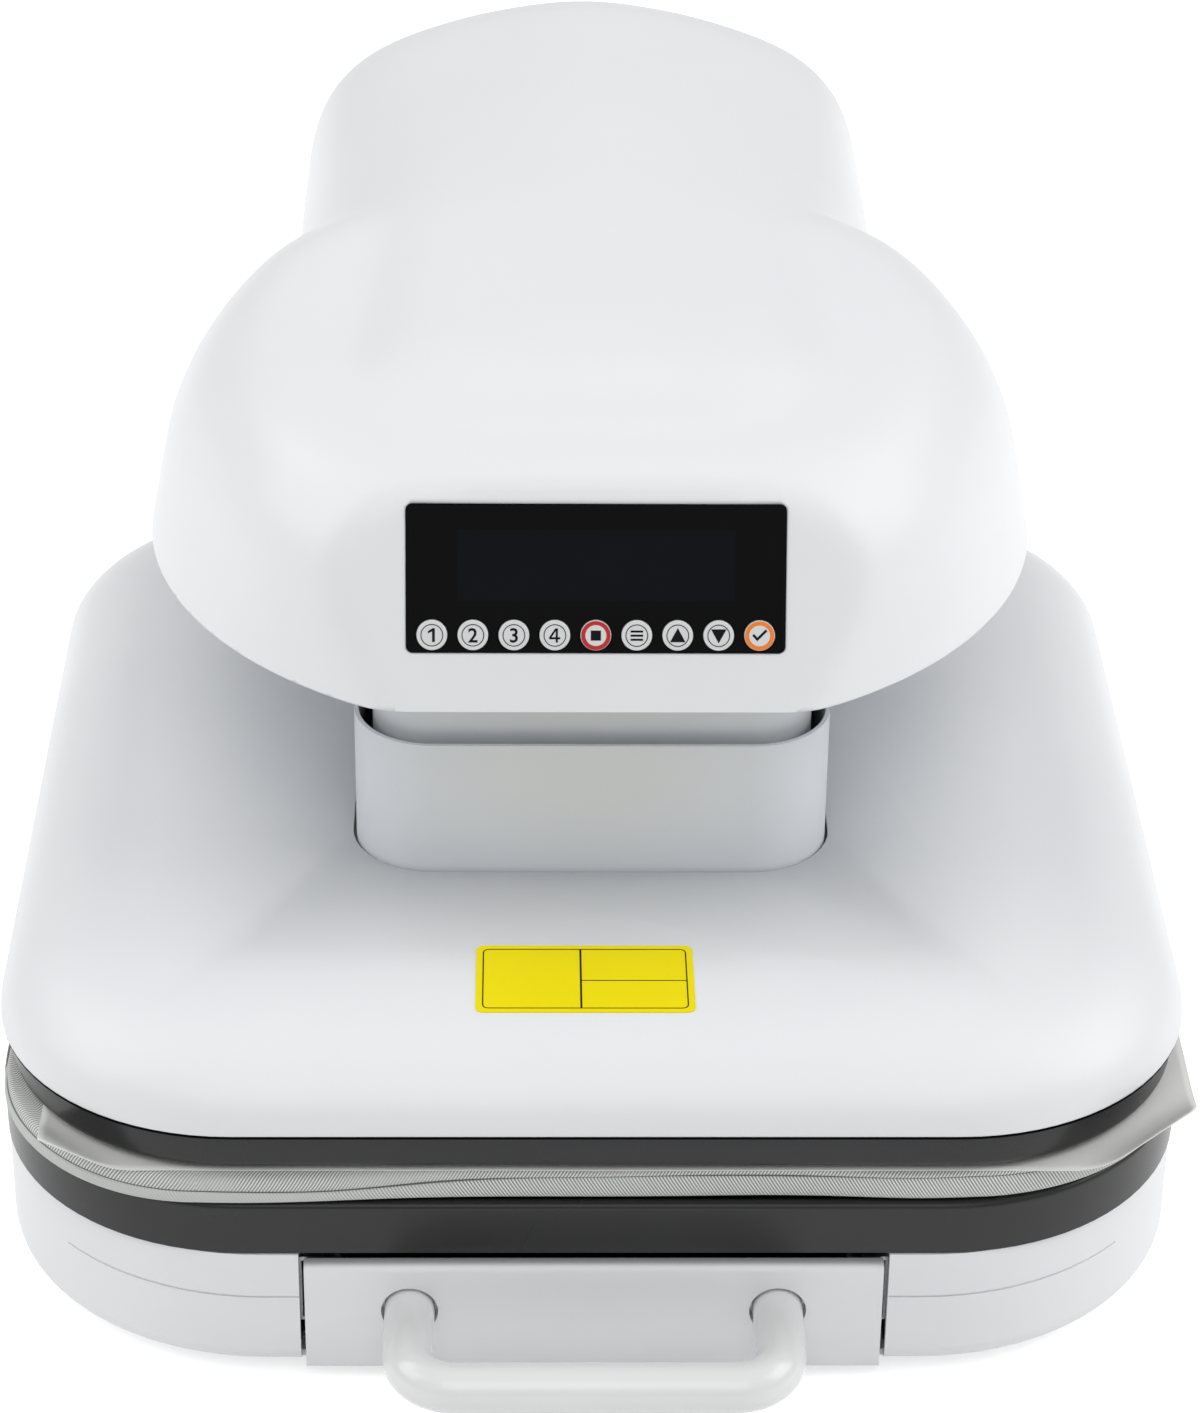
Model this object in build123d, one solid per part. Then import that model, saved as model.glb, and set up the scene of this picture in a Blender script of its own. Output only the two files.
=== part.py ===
from build123d import *
import math
import os

# Automatic heat press: a white base with a drawer that carries the padded lower bed, a heated
# platen that a motor raises and lowers on a screw, and a head carried by a column at the back.
# Millimetres, +Z up, +Y to the back. Every piece is drawn about the pressing axis, with z = 0
# at the lower edge of the base, and save() moves it to the object's own origin.

# Wall thicknesses and clearances
SHELL_WALL = 3.0
JOIN_GAP = 0.3
SLIDE_GAP = 0.5
RUNNING_GAP = 0.05
SHEET_STEEL = 2.0
FIT_GAP = 0.1
CUT_OVER = 1.0

# Footprint: the column stands clear behind the base's square part and the platen
BASE_WIDTH = 413.0
BASE_DEPTH = 416.0
COVER_WIDTH = 410.0
COVER_DEPTH = 417.0
COLUMN_GAP = 4.5
COLUMN_DEPTH = 159.0
COLUMN_FRONT = max(BASE_DEPTH, COVER_DEPTH) / 2 + COLUMN_GAP
COLUMN_BACK = COLUMN_FRONT + COLUMN_DEPTH

# Base
BASE_CORNER_R = 95.0
BASE_HEIGHT = 48.0
BASE_EDGE_R = 8.0
BASE_FLANGE = 22.0
SEAM_Z = 29.8
SEAM_DEPTH = 0.6
SEAM_WIDTH = 0.8
SEAM_BACK = 30.0
FOOT_HEIGHT = 6.0
FOOT_R = 16.0
FOOT_EDGE_R = 1.5
FOOT_X = 140.0
FOOT_Y = 140.0
FOOT_COLUMN_X = 62.0
FOOT_FROM_BACK = 54.0
FOOT_COLUMN_Y = COLUMN_BACK - FOOT_FROM_BACK

# Column and head
COLUMN_WIDTH = 230.0
COLUMN_FRONT_PART = 39.0
COLUMN_SPLIT = COLUMN_FRONT + COLUMN_FRONT_PART
COLUMN_CORNER_R = 80.0
COLUMN_FRONT_CORNER = 14.0
HEAD_Z = 205.0
HEAD_R = 160.0
HEAD_CENTRE_Y = 28.0
HEAD_FRONT = 114.6
HEAD_LEAN = 20.7
HEAD_DRAFT = 4.4
HEAD_HEIGHT = 75.5
HEAD_TOP_SLOPE = 2.06
HEAD_EDGE_R = 36.0
HEAD_FRONT_R = 12.0
NECK_HEIGHT = 88.0
NECK_TOP_SLOPE = 0.4
NECK_RIDGE_FRONT = -82.0
NECK_EDGE_R = 66.0
HEAD_FLOOR = 3.0

# Control panel on the leaning face, heights measured along the face
LENS_WIDTH = 127.0
LENS_HEIGHT = 50.0
LENS_LOW = 20.4
LENS_THICK = 1.8
LENS_CORNER_R = 2.0
LENS_PROUD = 0.3
DISPLAY_WIDTH = 95.0
DISPLAY_HEIGHT = 24.0
DISPLAY_LOW = 37.7
BUTTON_COUNT = 9
BUTTON_PITCH = 13.75
BUTTON_R = 5.15
BUTTON_LOW = 26.4
BUTTON_PROUD = 0.7
BUTTON_LENGTH = 4.0
BUTTON_TRAVEL = 0.5
BUTTON_EDGE_R = 0.4
BUTTON_NAMES = ("button_one", "button_two", "button_three", "button_four", "button_halt",
                "button_mode", "button_up", "button_down", "button_confirm")
BOARD_THICK = 1.6
BOARD_SIDE_MARGIN = 3.0
BOARD_END_MARGIN = 2.0
SWITCH_SIDE = 6.0
SWITCH_HEIGHT = 3.4

# Platen that rises and falls
PLATEN_LIFT = 30.0
COVER_CORNER_R = 84.0
COVER_RIM_Z = 97.6
COVER_HEIGHT = 24.4
COVER_EDGE_R = 24.0
BAND_INSET = 3.0
BAND_HEIGHT = 15.0
BAND_WALL = 3.0
BAND_LIP = 2.0
BAND_TOP_GAP = 0.6
PLATE_SIDE_MARGIN = 15.0
PLATE_FRONT_MARGIN = 18.5
PLATE_WIDTH = COVER_WIDTH - 2 * PLATE_SIDE_MARGIN
PLATE_DEPTH = COVER_DEPTH - 2 * PLATE_FRONT_MARGIN
PLATE_CORNER_R = 70.0
PLATE_THICK = 11.0
PLATE_Z = 81.7
ELEMENT_R = 4.0
ELEMENT_SIDE_MARGIN = 40.0
ELEMENT_END_MARGIN = 50.0
ELEMENT_RUNS = 6
ELEMENT_STRAIGHT = 2.0
BLANKET_MARGIN = 15.0
BLANKET_THICK = 9.0
LIFT_PLATE_SIDE = 200.0
LIFT_PLATE_THICK = 6.0
STANDOFF_R = 6.0
STANDOFF_HEIGHT = 12.0
STANDOFF_X = 80.0
PROBE_R = 8.0
PROBE_HEIGHT = 6.0
PROBE_X = 24.0
PROBE_EDGE_R = 1.0
SLEEVE_SIDE = 168.0
SLEEVE_CORNER_R = 28.0
SLEEVE_WALL = 1.5
SLEEVE_TOP_Z = 173.2
SLEEVE_GAP = 2.0
INNER_SIDE = 155.0
INNER_CORNER_R = 22.0
INNER_WALL = 2.0
INNER_LOW_GAP = 5.0
INNER_FLANGE = 12.0
LABEL_WIDTH = 74.0
LABEL_DEPTH = 40.0
LABEL_X = -3.2
LABEL_FROM_FRONT = 56.5
LABEL_THICK = 0.3
LABEL_CORNER_R = 3.0

# Lift drive
ROD_R = 8.0
ROD_X = 48.0
ROD_TOP_Z = 240.0
ROD_CHAMFER = 1.0
BUSH_R = 13.0
BUSH_HEIGHT = 24.0
SCREW_R = 8.0
SCREW_END_GAP = 3.3
SCREW_TOP_Z = 254.0
SCREW_CHAMFER = 1.5
NUT_HEIGHT = 18.0
NUT_R = 20.0
NUT_POST_R = 22.0
NUT_POST_BORE = 12.0
NUT_TOP_Z = 166.0
BEARING_R = 16.0
BEARING_HEIGHT = 12.0
PULLEY_R = 24.0
PULLEY_HEIGHT = 12.0
PULLEY_Z = 241.0
PULLEY_FLANGE = 2.0
PULLEY_FLANGE_THICK = 1.5
MOTOR_FROM_FRONT = 72.0
MOTOR_Y = COLUMN_FRONT + MOTOR_FROM_FRONT
MOTOR_R = 34.0
MOTOR_HEIGHT = 92.0
MOTOR_EDGE_R = 4.0
MOTOR_RING_STEP = 1.0
MOTOR_RING_HEIGHT = 3.0
MOTOR_RING_DROP = 41.4
MOTOR_SHAFT_R = 5.0
BELT_THICK = 1.6
BELT_WIDTH = 8.0

# Steel frame
FRAME_PLATE = 5.0
FRAME_X = 90.0
FRAME_ARM_FRONT = -62.0
FRAME_FROM_FRONT = 19.0
FRAME_FROM_BACK = 54.0
FRAME_POST_FRONT = COLUMN_FRONT + FRAME_FROM_FRONT
FRAME_POST_BACK = COLUMN_BACK - FRAME_FROM_BACK
FRAME_ARM_LOW_Z = 212.0
BRIDGE_Z = 226.0
BRIDGE_THICK = 8.0
SCREW_HEAD_R = 4.5
SCREW_HEAD_HEIGHT = 3.0
SCREW_SOCKET_R = 2.2
SCREW_SOCKET_DEPTH = 1.5
FRAME_SCREW_PAIRS = 4
FRAME_SCREW_INSET = 22.8

# Drawer
PANEL_WIDTH = 196.0
PANEL_HEIGHT = 43.9
PANEL_LOW_Z = -1.0
PANEL_THICK = 5.0
PANEL_LIP_R = 2.4
PANEL_GAP = 1.7
HANDLE_TUBE_R = 8.5
HANDLE_WALL = 2.0
HANDLE_SPACING = 125.0
HANDLE_REACH = 40.0
HANDLE_BEND_R = 16.0
HANDLE_Z = 24.0
HANDLE_RING = 1.2
CARRIAGE_WIDTH = 176.0
CARRIAGE_LENGTH = 350.0
CARRIAGE_LOW_Z = 13.0
CARRIAGE_NOTCH = 14.0
SLOT_SHORTFALL = 29.0
SLOT_BACK = COLUMN_FRONT - SLOT_SHORTFALL
RAIL_WIDTH = 12.7
RAIL_SHEET = 1.5
RAIL_HEIGHT = 27.0
RAIL_LOW_Z = 14.0
RAIL_LENGTH = 345.0
RAIL_START_GAP = 1.0
RAIL_OUTER_SETBACK = 4.0
RAIL_MIDDLE_SETBACK = 6.0
RAIL_MIDDLE_SHORTER = 8.0
TRAY_SIDE_INSET = 0.5
TRAY_FRONT_INSET = 0.6
TRAY_WIDTH = BASE_WIDTH - 2 * TRAY_SIDE_INSET
TRAY_DEPTH = BASE_DEPTH - 2 * TRAY_FRONT_INSET
TRAY_CORNER_R = 88.0
TRAY_Z = 48.5
TRAY_HEIGHT = 20.1
TRAY_WALL = 5.0
TRAY_BEAD_R = 2.3
BED_OVERHANG = 2.0
BED_THICK = 4.0
PAD_SIDE_MARGIN = 16.0
PAD_FRONT_MARGIN = 17.4
PAD_WIDTH = TRAY_WIDTH - 2 * PAD_SIDE_MARGIN
PAD_DEPTH = TRAY_DEPTH - 2 * PAD_FRONT_MARGIN
PAD_TOP_Z = 69.6
FABRIC_OVERHANG = 13.0
FABRIC_TOP_Z = 80.0
FABRIC_BULGE = 4.6
FABRIC_CORNER_R = 72.0
FABRIC_WAVES = 5
FABRIC_WAVE = 1.1
FABRIC_WAVE_LENGTH = 49.2
SHEET_SIDE_OVERHANG = 6.75
SHEET_FRONT_OVERHANG = 13.5
SHEET_X = 9.25
SHEET_THICK = 0.4
SHEET_LIFT = 0.1

# Power side of the column
INLET_WIDTH = 28.0
INLET_HEIGHT = 48.0
INLET_DEPTH = 24.0
INLET_Z = 96.0
SOCKET_WIDTH = 24.0
SOCKET_HEIGHT = 16.0
SOCKET_DEPTH = 17.0
SOCKET_DROP = 11.0
SOCKET_CORNER = 4.0
PIN_WIDTH = 2.0
PIN_HEIGHT = 4.0
PIN_LENGTH = 14.0
PIN_SPACING = 7.0
PIN_RISE = 2.0
ROCKER_WIDTH = 20.0
ROCKER_HEIGHT = 13.0
ROCKER_RISE = 12.0
ROCKER_TILT = 9.0
ROCKER_AXLE_R = 2.0
ROCKER_AXLE_REACH = 4.0
ROCKER_SINK = 1.0
ROCKER_DISH = 0.8
ROCKER_DISH_R = 28.0
ROCKER_THICK = 8.0
ROCKER_WELL_ROOM = 6.0
FAN_SIDE = 60.0
FAN_DEPTH = 15.0
FAN_Z = 165.0
FAN_BORE_R = 28.0
FAN_HUB_R = 11.0
FAN_BLADES = 7
FAN_BLADE_THICK = 1.4
FAN_BLADE_PITCH = 38.0
FAN_AXLE_R = 2.0
FAN_SPOKE_THICK = 2.0
FAN_SPOKE_WIDTH = 3.0
FAN_ROTOR_ROOM = 6.0
FAN_BLADE_ROOT = 3.0
VENT_COUNT = 7
VENT_PITCH = 8.0
VENT_WIDTH = 50.0
VENT_HEIGHT = 3.4
POWER_BOARD_WIDTH = 110.0
POWER_BOARD_DEPTH = 62.0
POWER_BOARD_Z = 12.0
POWER_BOARD_FROM_FRONT = 49.0
POWER_BOARD_Y = COLUMN_FRONT + POWER_BOARD_FROM_FRONT
POST_R = 3.5
POST_INSET = 5.0
TRANSFORMER_WIDTH = 32.0
TRANSFORMER_DEPTH = 28.0
TRANSFORMER_HEIGHT = 24.0
TRANSFORMER_X = -30.0
RELAY_WIDTH = 28.0
RELAY_DEPTH = 24.0
RELAY_HEIGHT = 16.0
RELAY_X = 8.0
RELAY_Y = 6.0
CAPACITOR_R = 9.0
CAPACITOR_HEIGHT = 26.0
CAPACITOR_X = 36.0
CAPACITOR_Y = -8.0

# Where the pressing axis stands once the object's box is centred on its origin
HANDLE_FRONT = BASE_DEPTH / 2 + HANDLE_REACH + HANDLE_TUBE_R
AXIS_Y = (HANDLE_FRONT - COLUMN_BACK) / 2
AXIS_Z = FOOT_HEIGHT


# Shared shapes


def block(width, depth, height, x=0.0, y=0.0, z=0.0, corner=0.0):
    """A standing block with its middle at x, y and its underside at z."""
    outline = RectangleRounded(width, depth, corner) if corner else Rectangle(width, depth)
    return Pos(x, y, z) * extrude(outline, amount=height)


def post(radius, height, x=0.0, y=0.0, z=0.0):
    """An upright round bar with its underside at z."""
    return Pos(x, y, z) * extrude(Circle(radius), amount=height)


def soften(solid, z, radius):
    """Rounds the edges that lie in the level z."""
    return fillet([e for e in solid.edges() if abs(e.center().Z - z) < 1e-4], radius)


def both_sides(solid):
    """The solid and its mirror image across the middle of the object."""
    return [solid, mirror(solid, about=Plane.YZ)]


def four_corners(x, y):
    """Four places, one in each quarter."""
    return [(sx * x, sy * y) for sx in (-1, 1) for sy in (-1, 1)]


def joined(solids):
    """One shape from touching solids."""
    total = solids[0]
    for extra in solids[1:]:
        total = total + extra
    return total


def save(name, *solids):
    """Moves a sub-part to the object's own origin and writes it."""
    placed = []
    for item in solids:
        for solid in item.solids():
            placed.append(Pos(0, AXIS_Y, AXIS_Z) * solid)
    shape = placed[0] if len(placed) == 1 else Compound(children=placed)
    export_step(shape, f"parts/{name}.step")


def face_plane():
    """The leaning front face: local x across, y up the face, z out of it."""
    lean = math.radians(HEAD_LEAN)
    return Plane(
        origin=(0, -HEAD_FRONT, HEAD_Z),
        x_dir=(1, 0, 0),
        z_dir=(0, -math.cos(lean), math.sin(lean)),
    )


# Base


def base_outline(inset):
    """Plan of the base: the rounded square under the platen and the column's foot behind it."""
    square = RectangleRounded(
        BASE_WIDTH - 2 * inset, BASE_DEPTH - 2 * inset, BASE_CORNER_R - inset
    )
    foot_depth = COLUMN_BACK - inset
    foot = Pos(0, foot_depth / 2) * RectangleRounded(
        COLUMN_WIDTH - 2 * inset, foot_depth, COLUMN_CORNER_R - inset
    )
    return square + foot


def slot_block(half_gap, z, height):
    """The straight way through the base that the drawer runs in."""
    depth = BASE_DEPTH / 2 + half_gap + SLOT_BACK
    return block(PANEL_WIDTH + 2 * half_gap, depth, height, y=SLOT_BACK - depth / 2, z=z)


def rail_wall_x():
    """Inner face of the wall that carries the outer rails."""
    return CARRIAGE_WIDTH / 2 + RAIL_WIDTH


def seam_groove():
    """A fine groove on both front wings that fades where the corner turns."""
    ring = base_outline(-1) - base_outline(SEAM_DEPTH)
    groove = extrude(ring, amount=SEAM_WIDTH)
    reach = BASE_DEPTH / 2 - SEAM_BACK
    window = block(
        2 * BASE_WIDTH, BASE_DEPTH, 3 * SEAM_WIDTH, y=-reach - BASE_DEPTH / 2, z=-SEAM_WIDTH
    )
    return Pos(0, 0, SEAM_Z) * (groove & window)


def base_housing():
    outer = extrude(base_outline(0), amount=BASE_HEIGHT)
    outer = soften(outer, 0, BASE_EDGE_R)
    cavity = extrude(base_outline(SHELL_WALL), amount=BASE_HEIGHT - 2 * SHELL_WALL)
    cavity = Pos(0, 0, SHELL_WALL) * soften(cavity, 0, BASE_EDGE_R - SHELL_WALL)
    bottom_hole = extrude(base_outline(BASE_FLANGE), amount=SHELL_WALL)
    shell = outer - cavity - bottom_hole
    wall_length = SLOT_BACK + BASE_DEPTH / 2 - BASE_EDGE_R
    wall_y = SLOT_BACK - wall_length / 2
    wall_depth = PANEL_WIDTH / 2 + PANEL_GAP + SHELL_WALL - rail_wall_x()
    wall_x = rail_wall_x() + wall_depth / 2
    wall_low = SHELL_WALL + SHEET_STEEL + JOIN_GAP
    wall_height = BASE_HEIGHT - SHELL_WALL - wall_low
    wall = block(wall_depth, wall_length, wall_height, wall_x, wall_y, wall_low)
    shell = joined([shell] + both_sides(wall))
    slot = slot_block(PANEL_GAP, SHELL_WALL, BASE_HEIGHT)
    deck_slot = slot - joined(both_sides(wall))
    front_depth = PANEL_THICK + SLIDE_GAP + CUT_OVER
    front_cut = block(
        PANEL_WIDTH + 2 * PANEL_GAP,
        front_depth,
        BASE_HEIGHT + 2 * CUT_OVER,
        y=-BASE_DEPTH / 2 - CUT_OVER + front_depth / 2,
        z=-CUT_OVER,
    )
    frame_depth = FRAME_POST_BACK - FRAME_POST_FRONT + 2 * JOIN_GAP
    frame_hole = block(
        2 * (FRAME_X + FRAME_PLATE + JOIN_GAP),
        frame_depth,
        BASE_HEIGHT,
        y=(FRAME_POST_FRONT + FRAME_POST_BACK) / 2,
        z=BASE_HEIGHT - SHELL_WALL - CUT_OVER,
    )
    return shell - deck_slot - front_cut - frame_hole - seam_groove()


def bottom_plate():
    """The steel sheet that closes the base, cut back behind the drawer's panel."""
    plate = extrude(base_outline(BASE_EDGE_R + JOIN_GAP), amount=SHEET_STEEL)
    cut_back = BASE_EDGE_R + PANEL_THICK
    trim = block(PANEL_WIDTH + 2 * PANEL_GAP, 2 * cut_back, SHEET_STEEL, y=-BASE_DEPTH / 2)
    return Pos(0, 0, SHELL_WALL) * (plate - trim)


def feet():
    """Rubber feet stuck under the steel bottom plate."""
    places = four_corners(FOOT_X, FOOT_Y)
    places += [(-FOOT_COLUMN_X, FOOT_COLUMN_Y), (FOOT_COLUMN_X, FOOT_COLUMN_Y)]
    foot = soften(post(FOOT_R, FOOT_HEIGHT + SHELL_WALL, z=-FOOT_HEIGHT), -FOOT_HEIGHT, FOOT_EDGE_R)
    return [Pos(x, y) * foot for x, y in places]


# Steel frame


def frame_side(side):
    """A steel side plate: a post that stands on the bottom plate and an arm over the platen."""
    low = SHELL_WALL + SHEET_STEEL
    profile = Polyline(
        [
            (FRAME_POST_FRONT, low),
            (FRAME_POST_BACK, low),
            (FRAME_POST_BACK, BRIDGE_Z),
            (FRAME_ARM_FRONT, BRIDGE_Z),
            (FRAME_ARM_FRONT, FRAME_ARM_LOW_Z),
            (FRAME_POST_FRONT, FRAME_ARM_LOW_Z),
        ],
        close=True,
    )
    plate = extrude(Plane.YZ * make_face(profile), amount=FRAME_PLATE)
    plate = Pos(FRAME_X, 0, 0) * plate
    return plate if side > 0 else mirror(plate, about=Plane.YZ)


def bridge_plate():
    """The thick plate on top of both side plates that takes the drive."""
    front = FRAME_ARM_FRONT
    depth = FRAME_POST_BACK - front
    width = 2 * (FRAME_X + FRAME_PLATE)
    plate = block(width, depth, BRIDGE_THICK, y=front + depth / 2, z=BRIDGE_Z)
    low = BRIDGE_Z - CUT_OVER
    length = BRIDGE_THICK + 2 * CUT_OVER
    holes = [post(BUSH_R + FIT_GAP, length, x, y, low) for x, y in four_corners(ROD_X, ROD_X)]
    holes.append(post(BEARING_R + FIT_GAP, length, z=low))
    holes.append(post(MOTOR_SHAFT_R + SLIDE_GAP, length, y=MOTOR_Y, z=low))
    for hole in holes:
        plate = plate - hole
    return plate


def frame_screws():
    """Cap screws that hold the bridge plate down on the side plates."""
    x = FRAME_X + FRAME_PLATE / 2
    front = FRAME_ARM_FRONT + FRAME_SCREW_INSET
    back = FRAME_POST_BACK - FRAME_SCREW_INSET
    pitch = (back - front) / (FRAME_SCREW_PAIRS - 1)
    head = post(SCREW_HEAD_R, SCREW_HEAD_HEIGHT)
    socket = extrude(RegularPolygon(SCREW_SOCKET_R, 6), amount=SCREW_HEAD_HEIGHT)
    head = head - Pos(0, 0, SCREW_HEAD_HEIGHT - SCREW_SOCKET_DEPTH) * socket
    screws = []
    for index in range(FRAME_SCREW_PAIRS):
        screws += both_sides(Pos(x, front + index * pitch, BRIDGE_Z + BRIDGE_THICK) * head)
    return screws


def guide_bushings():
    """Flanged ball bushings pressed into the bridge plate."""
    z = BRIDGE_Z + BRIDGE_THICK - BUSH_HEIGHT
    bushes = []
    for x, y in four_corners(ROD_X, ROD_X):
        bush = post(BUSH_R, BUSH_HEIGHT, z=z) - post(ROD_R + RUNNING_GAP, BUSH_HEIGHT, z=z)
        bushes.append(Pos(x, y) * bush)
    return bushes


def screw_bearing():
    z = BRIDGE_Z + BRIDGE_THICK - BEARING_HEIGHT
    return post(BEARING_R, BEARING_HEIGHT, z=z) - post(SCREW_R + RUNNING_GAP, BEARING_HEIGHT, z=z)


# Head and column shells


def leaning_front(inset):
    """The cutting plane of the control panel's face, moved inwards by inset."""
    return face_plane().offset(-inset)


def head_form(inset):
    """The round head: a drafted drum under a gently rising top, cut by the leaning face."""
    body = Pos(0, HEAD_CENTRE_Y, HEAD_Z) * extrude(
        Circle(HEAD_R - inset), amount=1.5 * HEAD_HEIGHT, taper=HEAD_DRAFT
    )
    slope = math.radians(HEAD_TOP_SLOPE)
    front_top_y = -HEAD_FRONT + HEAD_HEIGHT * math.tan(math.radians(HEAD_LEAN))
    top = Plane(
        origin=(0, front_top_y, HEAD_Z + HEAD_HEIGHT - inset),
        x_dir=(1, 0, 0),
        z_dir=(0, -math.sin(slope), math.cos(slope)),
    )
    body = split(body, bisect_by=top, keep=Keep.BOTTOM)
    body = fillet(body.faces().sort_by(Axis.Z)[-1].edges(), HEAD_EDGE_R - inset)
    body = split(body, bisect_by=leaning_front(inset), keep=Keep.BOTTOM)
    rim = body.faces().sort_by(Axis((0, 0, HEAD_Z), leaning_front(0).z_dir))[-1].edges()
    rim = [edge for edge in rim if edge.center().Z > HEAD_Z + SHELL_WALL]
    return fillet(rim, HEAD_FRONT_R - inset)


def neck_form(inset):
    """The neck: a long rounded box from the column that runs out as a low ridge on the head."""
    slope = math.tan(math.radians(NECK_TOP_SLOPE))
    front = NECK_RIDGE_FRONT + inset
    back = COLUMN_BACK - inset
    top = HEAD_Z + NECK_HEIGHT - inset
    side = Polyline(
        [(front, HEAD_Z), (back, HEAD_Z), (back, top), (front, top - slope * (back - front))],
        close=True,
    )
    body = extrude(Plane.YZ * make_face(side), amount=COLUMN_WIDTH / 2 - inset, both=True)
    body = fillet(body.edges().filter_by(Axis.Z), COLUMN_CORNER_R - inset)
    return fillet(body.faces().sort_by(Axis.Z)[-1].edges(), NECK_EDGE_R - inset)


def lens_pocket(clearance, depth):
    """The window for the control panel, cut square to the leaning face."""
    return face_plane() * Pos(0, LENS_LOW + LENS_HEIGHT / 2, -depth) * extrude(
        RectangleRounded(
            LENS_WIDTH + 2 * clearance, LENS_HEIGHT + 2 * clearance, LENS_CORNER_R + clearance
        ),
        amount=2 * depth,
    )


def head_shell():
    shell = (head_form(0) + neck_form(0)) - (head_form(SHELL_WALL) + neck_form(SHELL_WALL))
    return shell - lens_pocket(JOIN_GAP, 2 * SHELL_WALL)


def column_outline(inset, front, back, front_corner, back_corner):
    """Plan of one half of the column's skin."""
    width = COLUMN_WIDTH - 2 * inset
    plan = Pos(0, (front + back) / 2) * Rectangle(width, back - front)
    corners = plan.vertices().sort_by(Axis.Y)
    if back_corner:
        plan = fillet(corners[-2:], back_corner - inset)
        corners = plan.vertices().sort_by(Axis.Y)
    if front_corner:
        plan = fillet(corners[:2], front_corner - inset)
    return plan


def head_floor():
    """The panel that closes the underside of the head around the lift's inner column."""
    height = HEAD_FLOOR
    inset = SHELL_WALL + JOIN_GAP
    floor = Pos(0, HEAD_CENTRE_Y) * extrude(Circle(HEAD_R - inset), amount=height, taper=HEAD_DRAFT)
    floor = Pos(0, 0, -HEAD_Z) * split(Pos(0, 0, HEAD_Z) * floor, leaning_front(inset), keep=Keep.BOTTOM)
    back = COLUMN_FRONT + SHELL_WALL
    neck_depth = back - HEAD_CENTRE_Y
    neck = block(
        COLUMN_WIDTH - 2 * (SHELL_WALL + JOIN_GAP), neck_depth, height, y=back - neck_depth / 2
    )
    opening_side = INNER_SIDE - 2 * INNER_FLANGE
    opening = block(opening_side, opening_side, height, corner=INNER_CORNER_R - INNER_WALL)
    return Pos(0, 0, HEAD_Z) * (floor + neck - opening)


def inner_column():
    """The fixed square tube under the head that the platen's sleeve slides over."""
    low = lift_plate_z() + LIFT_PLATE_THICK + PLATEN_LIFT + INNER_LOW_GAP
    height = HEAD_Z - low
    outer = block(INNER_SIDE, INNER_SIDE, height, z=low, corner=INNER_CORNER_R)
    inner_side = INNER_SIDE - 2 * INNER_WALL
    bore = block(
        inner_side, inner_side, height - INNER_WALL, z=low, corner=INNER_CORNER_R - INNER_WALL
    )
    opening_side = INNER_SIDE - 2 * INNER_FLANGE
    opening = block(opening_side, opening_side, height, z=low, corner=INNER_CORNER_R - INNER_WALL)
    return outer - bore - opening


def column_front_cover():
    height = HEAD_Z - BASE_HEIGHT
    outer = column_outline(0, COLUMN_FRONT, COLUMN_SPLIT, COLUMN_FRONT_CORNER, 0)
    inner = column_outline(SHELL_WALL, COLUMN_FRONT + SHELL_WALL, COLUMN_SPLIT, COLUMN_FRONT_CORNER, 0)
    return Pos(0, 0, BASE_HEIGHT) * extrude(outer - inner, amount=height)


def column_rear_cover():
    height = HEAD_Z - BASE_HEIGHT
    front = COLUMN_SPLIT + JOIN_GAP
    outer = column_outline(0, front, COLUMN_BACK, 0, COLUMN_CORNER_R)
    inner = column_outline(SHELL_WALL, front, COLUMN_BACK - SHELL_WALL, 0, COLUMN_CORNER_R)
    cover = Pos(0, 0, BASE_HEIGHT) * extrude(outer - inner, amount=height)
    inlet_hole = block(
        INLET_WIDTH + 2 * JOIN_GAP,
        4 * SHELL_WALL,
        INLET_HEIGHT + 2 * JOIN_GAP,
        y=COLUMN_BACK,
        z=INLET_Z - INLET_HEIGHT / 2 - JOIN_GAP,
    )
    cover = cover - inlet_hole
    for index in range(VENT_COUNT):
        z = FAN_Z + (index - (VENT_COUNT - 1) / 2) * VENT_PITCH
        low = z - VENT_HEIGHT / 2
        cover = cover - block(VENT_WIDTH, 4 * SHELL_WALL, VENT_HEIGHT, y=COLUMN_BACK, z=low)
    return cover


# Control panel


def button_x(index):
    return (index - (BUTTON_COUNT - 1) / 2) * BUTTON_PITCH


def on_face(x, up, out, shape):
    """Puts a shape on the leaning face."""
    return face_plane() * Pos(x, up, out) * shape


def panel_lens():
    lens = on_face(
        0,
        LENS_LOW + LENS_HEIGHT / 2,
        LENS_PROUD - LENS_THICK,
        extrude(RectangleRounded(LENS_WIDTH, LENS_HEIGHT, LENS_CORNER_R), amount=LENS_THICK),
    )
    for index in range(BUTTON_COUNT):
        hole = extrude(Circle(BUTTON_R + JOIN_GAP), amount=4 * LENS_THICK)
        lens = lens - on_face(button_x(index), BUTTON_LOW, -2 * LENS_THICK, hole)
    return lens


def push_button(index):
    """A round cap that stands just proud of the lens."""
    top = LENS_PROUD + BUTTON_PROUD
    cap = extrude(Circle(BUTTON_R), amount=BUTTON_LENGTH)
    cap = fillet(cap.faces().sort_by(Axis.Z)[-1].edges(), BUTTON_EDGE_R)
    return on_face(button_x(index), BUTTON_LOW, top - BUTTON_LENGTH, cap)


def board_top():
    """Depth of the control board's front under the face, below the pressed buttons."""
    return LENS_PROUD + BUTTON_PROUD - BUTTON_LENGTH - BUTTON_TRAVEL - JOIN_GAP - SWITCH_HEIGHT


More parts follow.
